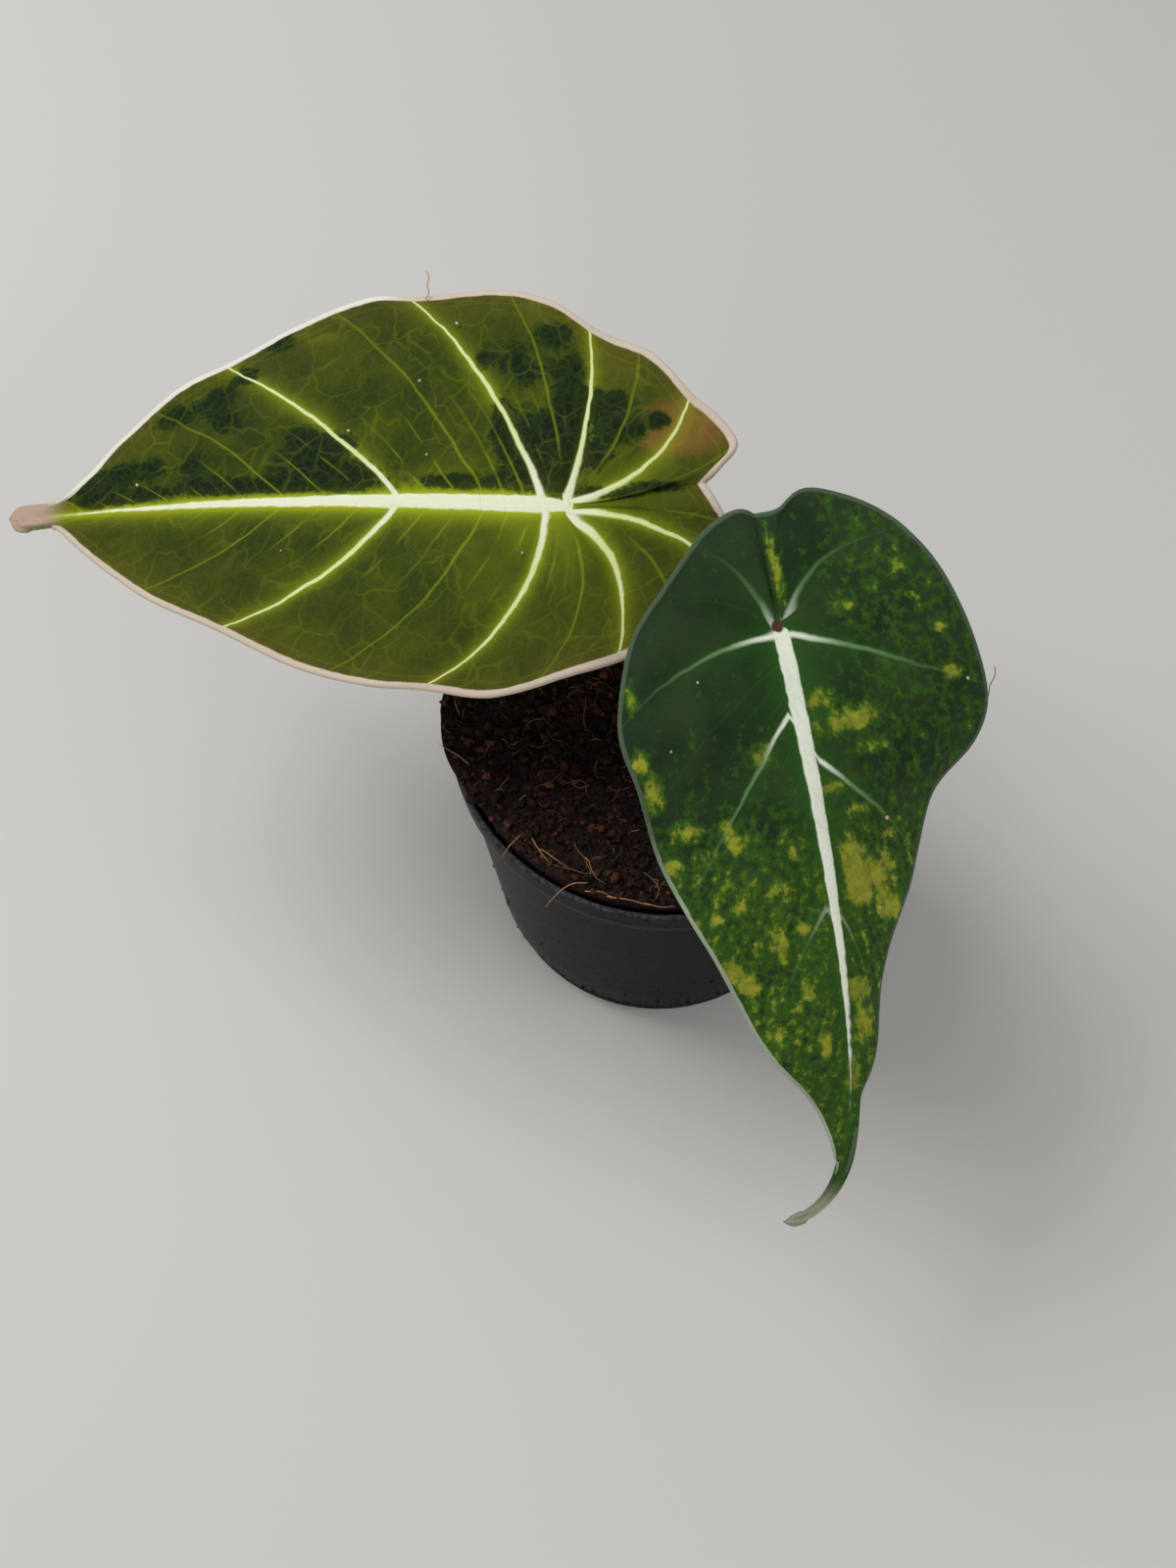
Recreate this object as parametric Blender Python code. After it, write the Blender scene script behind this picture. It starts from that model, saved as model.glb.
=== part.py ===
"""Alocasia black velvet: two variegated leaves on a short crown, in a round nursery pot filled with coir.

Lengths are in millimetres until a mesh is written, which turns them into metres. +Z is up, and the origin is
the middle of the flat under the pot. -Y is the side that the right leaf hangs over.
"""

import math
from dataclasses import dataclass

import bmesh
import bpy
from mathutils import Matrix, Vector, noise

MM = 0.001
GAP = 0.3
MERGE = 1e-6

# Pot: a thin tapered wall with a foot and a lip band
POT_HEIGHT = 68.0
POT_RIM_RADIUS = 38.0
POT_FOOT_RADIUS = 30.2
POT_FOOT_HEIGHT = 5.0
POT_LIP_HEIGHT = 7.0
POT_WALL = 1.0
POT_FLOOR = 1.3
POT_SIDES = 48
POT_STEP = 0.8
POT_ROUND = 0.5
POT_LIP_PROUD = 0.6
DRAIN_HOLES = 8
DRAIN_RADIUS = 2.6
DRAIN_CIRCLE = 23.5
DRAIN_SIDES = 12

# Soil: a plug that fills the pot, with a lumpy dome and a spill over the rim on -X
SOIL_TOP = 72.6
SOIL_EDGE = 69.3
SOIL_LUMP = 0.9
SOIL_LUMP_SIZE = 7.0
SOIL_FINE_LUMPS = 2.3
SOIL_EDGE_CLEAR = 1.1
SOIL_OVER_RIM = 0.1
SOIL_EDGE_ROUND = 0.3
SOIL_RINGS = (0.0, 0.06, 0.14, 0.24, 0.34, 0.44, 0.54, 0.64, 0.74, 1.0)
SPILL_AZIMUTH = math.radians(183)
SPILL_HALF_ANGLE = math.radians(42)
SPILL_REACH = 3.6
SPILL_RAGGED = 0.4
SPILL_WAVES = 4.0

# Crown: the short stem that stands in the soil and holds both petioles.
# Its section holds (inset, height) pairs, with a ring for each old leaf scar.
CROWN_RADIUS = 7.9
CROWN_FOOT = 45.0
CROWN_TOP = 78.0
CROWN_SIDES = 24
CROWN_SECTION = (
    (2.5, CROWN_FOOT), (0.8, 49.0), (0.4, 60.0), (0.0, 70.0), (0.5, 72.2),
    (0.0, 73.4), (0.6, 74.6), (0.2, 75.8), (0.5, 77.4), (1.2, CROWN_TOP),
)

# Petioles
PETIOLE_BASE_RADIUS = 2.3
PETIOLE_TOP_RADIUS = 1.7
PETIOLE_SIDES = 12
PETIOLE_RINGS = 15
PETIOLE_LOW_PULL = 0.35
PETIOLE_HIGH_PULL = 0.33
PETIOLE_COLOUR = (0.20, 0.16, 0.07, 1.0)
SOCKET_DEPTH = 5.5
SOCKET_RISE = 7.0
SOCKET_SPREAD = 3.3
CUTTER_LENGTH = 20.0
LEFT_LEAN = (-0.12, 0.10)
RIGHT_LEAN = (0.12, -0.10)

# Blades
BLADE_THICKNESS = 0.8
MARGIN_BEAD = 0.15
MARGIN_ROUND = 0.35
MARGIN_SHARPNESS = 8
MIDRIB_RADIUS = 1.7
MIDRIB_TAPER = 0.55
MIDRIB_DEPTH = 1.4
RIB_DEPTH = 0.7
RIB_FADE = 0.7
RIB_HALF_WIDTH = 0.9
RIB_NARROWING = 0.7
RIB_ROW_LIMIT = 0.28
QUILT = 0.7
EDGE_WAVE = 0.8
LAST_ROW = 6
ACROSS = (0.0, 0.08, 0.22, 0.4, 0.58, 0.76, 0.9, 1.0)
BETWEEN_RIBS = (0.3, 0.5, 0.7)
SPINE_START = -34.0
SPINE_SPARE = 4.0
SPINE_STEP = 0.5
FOLD_REACH = 45.0
BOW_REACH = 30.0
SMOOTH_UNDER = math.radians(40)


@dataclass(frozen=True)
class Half:
    """One half of a leaf's flat plan, in rows that run from the midrib to the margin.

    Row 0 runs back from the petiole to the notch, rows 1 to 5 are the main lateral veins, row 6 is the tip.
    outline holds (row, along, across), foot holds (row, along) on the midrib, bend is each vein's bow.
    """

    side: int
    outline: tuple
    foot: tuple
    bend: tuple


@dataclass(frozen=True)
class Leaf:
    """A leaf: its petiole's meeting point, its midrib's directions and bends in degrees, and its two halves.

    turn holds (start, degrees per mm) pairs that swing the midrib sideways past each start.
    fold is the rise of each half beside the petiole, far_fold its rise towards the tip.
    """

    name: str
    colour: tuple
    joint: tuple
    heading: float
    pitch: float
    droop: float
    back_droop: float
    roll: float
    turn: tuple
    fold: tuple
    far_fold: tuple
    bow: float
    minus: Half
    plus: Half


LEFT_LEAF = Leaf(
    name="left_blade",
    colour=(0.16, 0.24, 0.03, 1.0),
    joint=(-17.6, 18.5, 105.0),
    heading=171.0,
    pitch=9.0,
    droop=0.15,
    back_droop=0.05,
    roll=-12.0,
    turn=(),
    fold=(5.0, 5.0),
    far_fold=(5.0, 5.0),
    bow=8.0,
    minus=Half(
        side=-1,
        outline=(
            (0, -22.0, -4.9), (0.3, -24.6, -8.2), (0.55, -26.3, -12.0), (0.8, -22.8, -16.4),
            (1, -18.6, -19.4), (1.4, -11.0, -26.3), (2, -0.6, -30.7), (2.3, 7.0, -35.0),
            (2.6, 17.0, -37.3), (3, 30.3, -36.0), (3.35, 38.9, -35.3), (3.7, 50.5, -31.6),
            (4, 62.5, -24.8), (4.4, 73.1, -19.0), (4.8, 82.4, -12.2), (5, 86.4, -7.2),
            (5.3, 90.2, -3.4), (5.6, 94.5, -2.4), (5.85, 101.8, -2.4), (6, 103.3, -0.6),
        ),
        foot=(
            (0, -MIDRIB_RADIUS), (1, -1.4), (2, -0.2), (3, 4.0),
            (4, 28.5), (5, 70.0), (5.6, 91.0), (6, 101.0),
        ),
        bend=((0, 0.0), (1, 8.0), (2, 4.0), (3, 5.0), (4, 3.5), (5, 2.0), (6, 0.0)),
    ),
    plus=Half(
        side=1,
        outline=(
            (0, -22.0, -4.9), (0.35, -25.2, -0.4), (0.7, -28.2, 4.6), (1, -27.8, 10.0),
            (1.4, -23.0, 17.2), (2, -12.0, 25.0), (2.4, -3.0, 28.6), (2.7, 8.0, 31.9), (3, 19.0, 31.4),
            (3.3, 29.0, 31.2), (3.65, 42.3, 28.1), (4, 56.5, 22.2), (4.4, 70.0, 16.8),
            (4.75, 80.0, 11.0), (5, 86.4, 6.6), (5.35, 91.2, 2.8), (5.6, 94.8, 1.4),
            (5.85, 101.8, 1.1), (6, 103.3, -0.6),
        ),
        foot=(
            (0, -MIDRIB_RADIUS), (1, -1.5), (2, -0.8), (3, 2.5),
            (4, 28.5), (5, 70.0), (5.6, 91.0), (6, 101.0),
        ),
        bend=((0, 0.0), (1, 5.0), (2, 9.0), (3, 10.0), (4, 6.0), (5, 2.5), (6, 0.0)),
    ),
)

RIGHT_LEAF = Leaf(
    name="right_blade",
    colour=(0.03, 0.08, 0.03, 1.0),
    joint=(14.9, -12.7, 119.0),
    heading=-74.6,
    pitch=26.0,
    droop=0.25,
    back_droop=0.10,
    roll=4.0,
    turn=((0.0, -0.09), (50.0, -0.16), (68.0, -0.7), (83.0, -3.0), (92.0, -1.5)),
    fold=(8.0, 8.0),
    far_fold=(8.0, -28.0),
    bow=12.0,
    minus=Half(
        side=-1,
        outline=(
            (0, -17.9, 0.6), (0.35, -19.1, -2.2), (0.7, -18.2, -5.7), (1, -16.0, -9.2),
            (1.35, -10.7, -15.1), (1.7, -3.5, -22.1), (2, 8.3, -26.5), (2.35, 18.5, -25.6),
            (2.7, 29.7, -24.6), (3, 38.2, -22.0), (3.35, 46.5, -18.8), (3.7, 54.0, -16.3),
            (4, 62.0, -13.3), (4.5, 70.8, -7.6), (5, 78.1, -3.5), (5.3, 83.8, -1.3), (5.6, 90.0, -0.8),
            (5.85, 100.0, -0.7), (6, 102.0, 0.0),
        ),
        foot=(
            (0, -MIDRIB_RADIUS), (1, -1.4), (2, 0.2), (3, 12.0),
            (4, 42.0), (5, 70.0), (5.3, 80.0), (6, 100.0),
        ),
        bend=((0, 0.0), (1, 3.2), (2, 5.5), (3, 1.5), (4, 1.5), (5, 1.0), (6, 0.0)),
    ),
    plus=Half(
        side=1,
        outline=(
            (0, -17.9, 0.6), (0.3, -17.8, 4.0), (0.6, -19.8, 9.0), (0.8, -16.2, 16.2),
            (1, -11.0, 21.2), (1.5, 0.0, 26.2), (2, 14.0, 29.0), (2.35, 21.8, 26.8), (2.7, 28.5, 20.6),
            (3, 38.2, 16.8), (3.35, 46.0, 11.7), (3.7, 54.4, 8.0), (4, 62.0, 5.5), (4.5, 70.8, 2.7),
            (5, 77.5, 1.3), (5.3, 83.2, 0.8), (5.6, 90.0, 0.7), (5.85, 100.0, 0.7), (6, 102.0, 0.0),
        ),
        foot=(
            (0, -MIDRIB_RADIUS), (1, -1.4), (2, 0.2), (3, 19.5),
            (4, 44.0), (5, 70.0), (5.3, 80.0), (6, 100.0),
        ),
        bend=((0, 0.0), (1, 7.5), (2, 0.5), (3, 1.5), (4, 1.5), (5, 1.0), (6, 0.0)),
    ),
)


def smoothstep(low, high, x):
    """0 below low, 1 above high, with a smooth rise between."""
    t = min(1.0, max(0.0, (x - low) / (high - low)))
    return t * t * (3.0 - 2.0 * t)


def slope(table, i):
    """The table's rate of change at its point i, from the points beside it."""
    before = table[max(i - 1, 0)]
    after = table[min(i + 1, len(table) - 1)]
    return [(b - a) / (after[0] - before[0]) for a, b in zip(before[1:], after[1:])]


def along_table(table, x):
    """A smooth curve through the table's points, read at x, which is each point's first number."""
    i = 0
    while i < len(table) - 2 and table[i + 1][0] <= x:
        i += 1
    start, end = table[i], table[i + 1]
    span = end[0] - start[0]
    t = (x - start[0]) / span
    late = t * t * (3.0 - 2.0 * t)
    rise, fall = span * t * (1.0 - t) ** 2, span * t**2 * (t - 1.0)
    values = zip(start[1:], slope(table, i), end[1:], slope(table, i + 1))
    return [(1.0 - late) * p + rise * m + late * q + fall * n for p, m, q, n in values]


class Plan:
    """Reads positions on a leaf's flat plan."""

    def __init__(self, leaf):
        self.leaf = leaf
        self.length = leaf.minus.outline[-1][1]

    def midrib_half_width(self, along):
        """Half the midrib's width: a round end behind the petiole and a taper to the tip."""
        if along < 0.0:
            return math.sqrt(max(0.0, MIDRIB_RADIUS**2 - along**2))
        return MIDRIB_RADIUS * max(0.0, 1.0 - along / self.length) ** MIDRIB_TAPER

    def foot(self, half, row):
        """Where a row leaves the midrib's edge."""
        along = along_table(half.foot, row)[0]
        if row <= 0.0 or row >= LAST_ROW:
            return Vector((along, 0.0))
        return Vector((along, half.side * self.midrib_half_width(along)))

    def point(self, half, row, across):
        """The plan's point on a row, with across running from 0 at the midrib to 1 at the margin."""
        row = min(max(row, 0.0), LAST_ROW)
        foot = self.foot(half, row)
        end = Vector(along_table(half.outline, row))
        chord = end - foot
        outward = Vector((-half.side * chord.y, half.side * chord.x)).normalized()
        middle = (foot + end) / 2.0 + outward * along_table(half.bend, row)[0]
        rest = 1.0 - across
        return foot * rest**2 + middle * (2.0 * rest * across) + end * across**2

    def spacing(self, half, row, across):
        """Distance on the plan from one row to the next, in mm for each whole row."""
        step = 0.05
        after, before = self.point(half, row + step, across), self.point(half, row - step, across)
        return (after - before).length / (2.0 * step)


class Surface:
    """Bends a leaf's flat plan into space."""

    def __init__(self, leaf, plan):
        self.leaf = leaf
        count = int((plan.length + SPINE_SPARE - SPINE_START) / SPINE_STEP)
        self.frames = [self.frame(SPINE_START + i * SPINE_STEP) for i in range(count)]
        self.places = [Vector((0.0, 0.0, 0.0))]
        for before, after in zip(self.frames, self.frames[1:]):
            self.places.append(self.places[-1] + (before[0] + after[0]) * (SPINE_STEP / 2.0))
        shift = Vector(leaf.joint) - self.spine_place(0.0)
        self.places = [place + shift for place in self.places]

    def frame(self, along):
        """The midrib's direction, the direction across it and the normal, at a distance along it."""
        leaf = self.leaf
        droop = leaf.droop if along > 0.0 else leaf.back_droop
        pitch = math.radians(leaf.pitch + droop * along)
        swing = sum(rate * max(0.0, along - start) for start, rate in leaf.turn)
        heading = math.radians(leaf.heading + swing)
        roll = math.radians(leaf.roll)
        ahead = Vector((math.cos(heading), math.sin(heading), 0.0))
        tangent = ahead * math.cos(pitch) - Vector((0.0, 0.0, math.sin(pitch)))
        level = Vector((-math.sin(heading), math.cos(heading), 0.0))
        beside = level * math.cos(roll) + tangent.cross(level) * math.sin(roll)
        return tangent, beside, tangent.cross(beside)

    def spine_place(self, along):
        """The midrib's point in space at a distance along it."""
        at = (along - SPINE_START) / SPINE_STEP
        i = min(max(int(at), 0), len(self.places) - 2)
        return self.places[i].lerp(self.places[i + 1], at - i)

    def place(self, along, across):
        """A plan point in space, with the surface's normal there."""
        leaf = self.leaf
        _, beside, normal = self.frame(along)
        side = 1 if across > 0.0 else 0
        blend = smoothstep(0.0, FOLD_REACH, along)
        rise = math.radians(leaf.fold[side] + (leaf.far_fold[side] - leaf.fold[side]) * blend)
        curl = math.radians(leaf.bow) / BOW_REACH
        reach = abs(across)
        out = (math.sin(rise) - math.sin(rise - curl * reach)) / curl
        up = (math.cos(rise - curl * reach) - math.cos(rise)) / curl
        sign = math.copysign(1.0, across)
        angle = rise - curl * reach
        facing = normal * math.cos(angle) - beside * (sign * math.sin(angle))
        return self.spine_place(along) + beside * (sign * out) + normal * up, facing


def quilt(row, across):
    """How far the blade swells between two lateral veins."""
    return QUILT * math.sin(math.pi * row) ** 2 * math.sin(math.pi * across)


def edge_wave(row, across):
    """The wave of the margin, up and down once between lateral veins."""
    return EDGE_WAVE * across**3 * math.sin(2.0 * math.pi * row)


def rib_half_width(across):
    """Half the width of a lateral vein's rib."""
    return RIB_HALF_WIDTH * (1.0 - RIB_NARROWING * across)


def blade_rows():
    """Rows as (row, edge): edge -1 or 1 marks the two edges of the rib on that row, 0 the row itself."""
    rows = []
    for k in range(LAST_ROW):
        rows.append((k, 0))
        if k > 0:
            rows.append((k, 1))
        rows.extend((k + between, 0) for between in BETWEEN_RIBS)
        if k + 1 < LAST_ROW:
            rows.append((k + 1, -1))
    rows.append((LAST_ROW, 0))
    return rows


def half_row(plan, surface, half, row, edge):
    """One row of a half from the midrib's edge outwards: top points, bottom points and the rim's point."""
    top, bottom = [], []
    for across in ACROSS:
        at = float(row)
        if edge:
            at += edge * min(RIB_ROW_LIMIT, rib_half_width(across) / plan.spacing(half, row, across))
        on_rib = edge == 0 and 0 < row < LAST_ROW and float(row).is_integer()
        place, normal = surface.place(*plan.point(half, at, across))
        place = place + normal * (quilt(at, across) + edge_wave(at, across))
        thick = BLADE_THICKNESS / 2.0 + MARGIN_BEAD * across**MARGIN_SHARPNESS
        rib = RIB_DEPTH * (1.0 - across) ** RIB_FADE if on_rib else 0.0
        top.append(place + normal * thick)
        bottom.append(place - normal * (thick + rib))
    outward = (top[-1] - top[-2]).normalized()
    rim = (top[-1] + bottom[-1]) / 2.0 + outward * MARGIN_ROUND
    return top, bottom, rim


def midrib_points(plan, surface, leaf, row):
    """The top and bottom points on the midrib's middle line for a row."""
    along = sum(plan.foot(half, row).x for half in (leaf.minus, leaf.plus)) / 2.0
    place, normal = surface.place(along, 0.0)
    half_width = plan.midrib_half_width(along)
    depth = MIDRIB_DEPTH * half_width / MIDRIB_RADIUS
    return place + normal * BLADE_THICKNESS / 2.0, place - normal * (BLADE_THICKNESS / 2.0 + depth)


def add_strip(mesh, before, after):
    """Triangles between two lines of vertices, split alike on every face."""
    for i in range(len(before) - 1):
        a, b, c, d = before[i], after[i], after[i + 1], before[i + 1]
        mesh.faces.new((a, b, c))
        mesh.faces.new((a, c, d))


def build_blade(leaf):
    """A closed leaf blade with ribs underneath and a rounded, waved margin."""
    plan = Plan(leaf)
    surface = Surface(leaf, plan)
    mesh = bmesh.new()
    tops, bottoms = [], []
    for row, edge in blade_rows():
        left_top, left_bottom, left_rim = half_row(plan, surface, leaf.minus, row, edge)
        right_top, right_bottom, right_rim = half_row(plan, surface, leaf.plus, row, edge)
        mid_top, mid_bottom = midrib_points(plan, surface, leaf, row)
        left = mesh.verts.new(left_rim * MM)
        right = mesh.verts.new(right_rim * MM)
        top = [mesh.verts.new(p * MM) for p in (*reversed(left_top), mid_top, *right_top)]
        bottom = [mesh.verts.new(p * MM) for p in (*reversed(left_bottom), mid_bottom, *right_bottom)]
        tops.append([left, *top, right])
        bottoms.append([left, *bottom, right])
    for i in range(len(tops) - 1):
        add_strip(mesh, tops[i], tops[i + 1])
        add_strip(mesh, bottoms[i + 1], bottoms[i])
    bmesh.ops.remove_doubles(mesh, verts=mesh.verts, dist=MERGE)
    bmesh.ops.recalc_face_normals(mesh, faces=mesh.faces)
    return finish(mesh, leaf.name, leaf.colour, 0.55)


def finish(mesh, name, colour, roughness):
    """Turns a bmesh into a named object with a material of its own."""
    data = bpy.data.meshes.new(name)
    mesh.to_mesh(data)
    mesh.free()
    data.shade_smooth()
    data.set_sharp_from_angle(angle=SMOOTH_UNDER)
    material = bpy.data.materials.new(name)
    material.use_nodes = True
    shader = material.node_tree.nodes["Principled BSDF"]
    shader.inputs["Base Color"].default_value = colour
    shader.inputs["Roughness"].default_value = roughness
    shader.inputs["Metallic"].default_value = 0.0
    data.materials.append(material)
    thing = bpy.data.objects.new(name, data)
    bpy.context.scene.collection.objects.link(thing)
    return thing


def turned(profile, sides):
    """A closed solid turned round Z from (radius, height) points, which start and end on the axis."""
    mesh = bmesh.new()
    verts = [mesh.verts.new((radius * MM, 0.0, height * MM)) for radius, height in profile]
    edges = [mesh.edges.new(pair) for pair in zip(verts, verts[1:])]
    bmesh.ops.spin(mesh, geom=verts + edges, cent=(0, 0, 0), axis=(0, 0, 1), angle=2 * math.pi, steps=sides,
                   use_merge=True)
    bmesh.ops.remove_doubles(mesh, verts=mesh.verts, dist=MERGE)
    bmesh.ops.recalc_face_normals(mesh, faces=mesh.faces)
    return mesh


def tube(centres, radii, sides):
    """A closed round tube through centres, with flat ends square to its first and last stretch."""
    mesh = bmesh.new()
    rings = []
    across = Vector((1.0, 0.0, 0.0))
    for i, (centre, radius) in enumerate(zip(centres, radii)):
        heading = (centres[min(i + 1, len(centres) - 1)] - centres[max(i - 1, 0)]).normalized()
        across = (across - heading * across.dot(heading)).normalized()
        other = heading.cross(across)
        angles = [2.0 * math.pi * k / sides for k in range(sides)]
        ring = [centre + (across * math.cos(a) + other * math.sin(a)) * radius for a in angles]
        rings.append([mesh.verts.new(point * MM) for point in ring])
    for before, after in zip(rings, rings[1:]):
        for k in range(sides):
            mesh.faces.new((before[k], before[(k + 1) % sides], after[(k + 1) % sides], after[k]))
    mesh.faces.new(reversed(rings[0]))
    mesh.faces.new(rings[-1])
    bmesh.ops.recalc_face_normals(mesh, faces=mesh.faces)
    return mesh


def cut(thing, cutter_mesh, name):
    """Cuts a mesh out of an object with a Boolean modifier."""
    cutter = finish(cutter_mesh, name, (1.0, 1.0, 1.0, 1.0), 0.5)
    cutter.hide_render = True
    cutter.display_type = "WIRE"
    modifier = thing.modifiers.new(name, "BOOLEAN")
    modifier.operation = "DIFFERENCE"
    modifier.solver = "EXACT"
    modifier.object = cutter


def cylinder(base, heading, radius, length, sides):
    """A plain cylinder mesh from a base point along a direction."""
    return tube([base, base + heading * length], [radius, radius], sides)


def wall_radius(height):
    """The pot's outer radius on the tapered wall between the foot and the lip band."""
    low, high = POT_FOOT_HEIGHT, POT_HEIGHT - POT_LIP_HEIGHT
    bottom, top = POT_FOOT_RADIUS + 1.0, POT_RIM_RADIUS - POT_WALL - POT_LIP_PROUD
    return bottom + (top - bottom) * (height - low) / (high - low)


def pot_outside():
    """The pot's outer profile from the middle of its floor up to the top of the rim."""
    lip = POT_HEIGHT - POT_LIP_HEIGHT
    above_step = POT_FOOT_HEIGHT + POT_STEP
    return [
        (0.0, 0.0),
        (POT_FOOT_RADIUS - POT_ROUND, 0.0),
        (POT_FOOT_RADIUS, POT_ROUND),
        (POT_FOOT_RADIUS + 0.2, POT_FOOT_HEIGHT),
        (wall_radius(above_step), above_step),
        (wall_radius(lip), lip),
        (POT_RIM_RADIUS - POT_ROUND, lip + POT_ROUND),
        (POT_RIM_RADIUS, POT_HEIGHT - POT_ROUND),
        (POT_RIM_RADIUS - POT_ROUND / 2.0, POT_HEIGHT),
        (POT_RIM_RADIUS - POT_WALL, POT_HEIGHT),
    ]


def pot_inside(clear):
    """The pot's inner profile from the rim down to the middle of its floor, moved inwards by clear."""
    lip = POT_HEIGHT - POT_LIP_HEIGHT
    inner = POT_WALL + clear
    above_step = POT_FOOT_HEIGHT + POT_STEP
    return [
        (POT_RIM_RADIUS - inner - 0.2, POT_HEIGHT - 0.4),
        (POT_RIM_RADIUS - inner - 0.5, lip + 0.6),
        (wall_radius(lip) - inner, lip - 0.8),
        (wall_radius(above_step) - inner, above_step + 0.4),
        (POT_FOOT_RADIUS - inner + 0.2, POT_FOOT_HEIGHT + 0.3),
        (POT_FOOT_RADIUS - inner, POT_FLOOR + clear),
        (0.0, POT_FLOOR + clear),
    ]


def build_pot():
    """The nursery pot, with a ring of drain holes through its floor."""
    pot = finish(turned(pot_outside() + pot_inside(0.0), POT_SIDES), "pot", (0.012, 0.012, 0.013, 1.0), 0.25)
    holes = bmesh.new()
    for k in range(DRAIN_HOLES):
        angle = 2.0 * math.pi * (k + 0.5) / DRAIN_HOLES
        middle = Vector((math.cos(angle), math.sin(angle), 0.0)) * DRAIN_CIRCLE
        place = Matrix.Translation((middle + Vector((0.0, 0.0, POT_FLOOR / 2.0))) * MM)
        bmesh.ops.create_cone(holes, cap_ends=True, segments=DRAIN_SIDES, radius1=DRAIN_RADIUS * MM,
                              radius2=DRAIN_RADIUS * MM, depth=(POT_FLOOR + 2.0) * MM, matrix=place)
    cut(pot, holes, "drain_cutter")
    return pot


def spill(azimuth):
    """How far the soil hangs over the rim at an azimuth, 0 where it stays inside."""
    away = abs(math.remainder(azimuth - SPILL_AZIMUTH, 2.0 * math.pi))
    return smoothstep(SPILL_HALF_ANGLE, 0.0, away)


def soil_height(x, y, share):
    """Height of the soil's top, with share 0 at the edge and 1 at the middle."""
    dome = SOIL_EDGE + (SOIL_TOP - SOIL_EDGE) * math.sin(share * math.pi / 2.0)
    coarse = noise.noise(Vector((x, y, 3.0)) / SOIL_LUMP_SIZE)
    fine = noise.noise(Vector((x, y, 9.0)) * SOIL_FINE_LUMPS / SOIL_LUMP_SIZE)
    calm = smoothstep(0.0, 0.15, share)
    return dome + SOIL_LUMP * (coarse + 0.5 * fine) * calm


def soil_ring(azimuth):
    """The soil's top profile at one azimuth, from the rim's edge inwards."""
    over = spill(azimuth)
    inside = POT_RIM_RADIUS - POT_WALL - GAP - SOIL_EDGE_CLEAR
    ragged = SPILL_RAGGED * noise.noise(Vector((azimuth * SPILL_WAVES, 0.0, 0.0)))
    edge = inside + (SPILL_REACH + ragged) * over
    points = [(edge, POT_HEIGHT + GAP + SOIL_OVER_RIM + SOIL_EDGE_ROUND * (1.0 - over))]
    for share in SOIL_RINGS:
        radius = edge * (1.0 - share)
        x, y = radius * math.cos(azimuth), radius * math.sin(azimuth)
        points.append((radius, soil_height(x, y, share)))
    return points


def build_soil():
    """The soil plug, domed and lumpy on top, with a plain hole for the crown."""
    plug = list(reversed(pot_inside(GAP)))
    plug[-1] = (plug[-1][0], POT_HEIGHT + GAP)
    mesh = bmesh.new()
    columns = []
    for k in range(POT_SIDES):
        azimuth = 2.0 * math.pi * k / POT_SIDES
        turn = Matrix.Rotation(azimuth, 3, "Z")
        profile = plug + soil_ring(azimuth)
        points = [turn @ Vector((radius, 0.0, height)) for radius, height in profile]
        columns.append([mesh.verts.new(point * MM) for point in points])
    for before, after in zip(columns, columns[1:] + columns[:1]):
        add_strip(mesh, before, after)
    bmesh.ops.remove_doubles(mesh, verts=mesh.verts, dist=MERGE)
    bmesh.ops.recalc_face_normals(mesh, faces=mesh.faces)
    soil = finish(mesh, "soil", (0.035, 0.017, 0.01, 1.0), 0.95)
    hole_length = SOIL_TOP + CUTTER_LENGTH - CROWN_FOOT
    foot, up = Vector((0.0, 0.0, CROWN_FOOT - GAP)), Vector((0.0, 0.0, 1.0))
    hole = cylinder(foot, up, CROWN_RADIUS + GAP, hole_length, CROWN_SIDES)
    cut(soil, hole, "crown_cutter")
    return soil


def socket(side):
    """The floor of a petiole's socket in the crown, and the direction that the petiole leaves it in."""
    floor = Vector((side * SOCKET_SPREAD, 0.0, CROWN_TOP - SOCKET_DEPTH))
    lean = LEFT_LEAN if side < 0 else RIGHT_LEAN
    return floor, Vector((*lean, 1.0)).normalized()


def build_crown():
    """The short stem, ringed by old leaf scars, with a socket for each petiole."""
    section = [(CROWN_RADIUS - inset, height) for inset, height in CROWN_SECTION]
    profile = [(0.0, section[0][1]), *section, (0.0, section[-1][1])]
    crown = finish(turned(profile, CROWN_SIDES), "crown", (0.09, 0.05, 0.025, 1.0), 0.8)
    for side, name in ((-1, "left_socket_cutter"), (1, "right_socket_cutter")):
        floor, heading = socket(side)
        cutter = cylinder(floor, heading, PETIOLE_BASE_RADIUS + GAP, CUTTER_LENGTH, PETIOLE_SIDES)
        cut(crown, cutter, name)
    return crown


def petiole_line(side, leaf):
    """Points of a petiole, straight in its socket and curved from there to just under the blade."""
    floor, heading = socket(side)
    start = floor + heading * GAP
    bend = start + heading * SOCKET_RISE
    place, normal = Surface(leaf, Plan(leaf)).place(0.0, 0.0)
    end = place - normal * (BLADE_THICKNESS / 2.0 + MIDRIB_DEPTH + GAP)
    reach = (end - bend).length
    handles = bend + heading * reach * PETIOLE_LOW_PULL, end - normal * reach * PETIOLE_HIGH_PULL
    points = [start]
    for k in range(PETIOLE_RINGS):
        t = k / (PETIOLE_RINGS - 1)
        rest = 1.0 - t
        curved = handles[0] * (3.0 * rest**2 * t) + handles[1] * (3.0 * rest * t**2)
        points.append(bend * rest**3 + curved + end * t**3)
    return points


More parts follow.
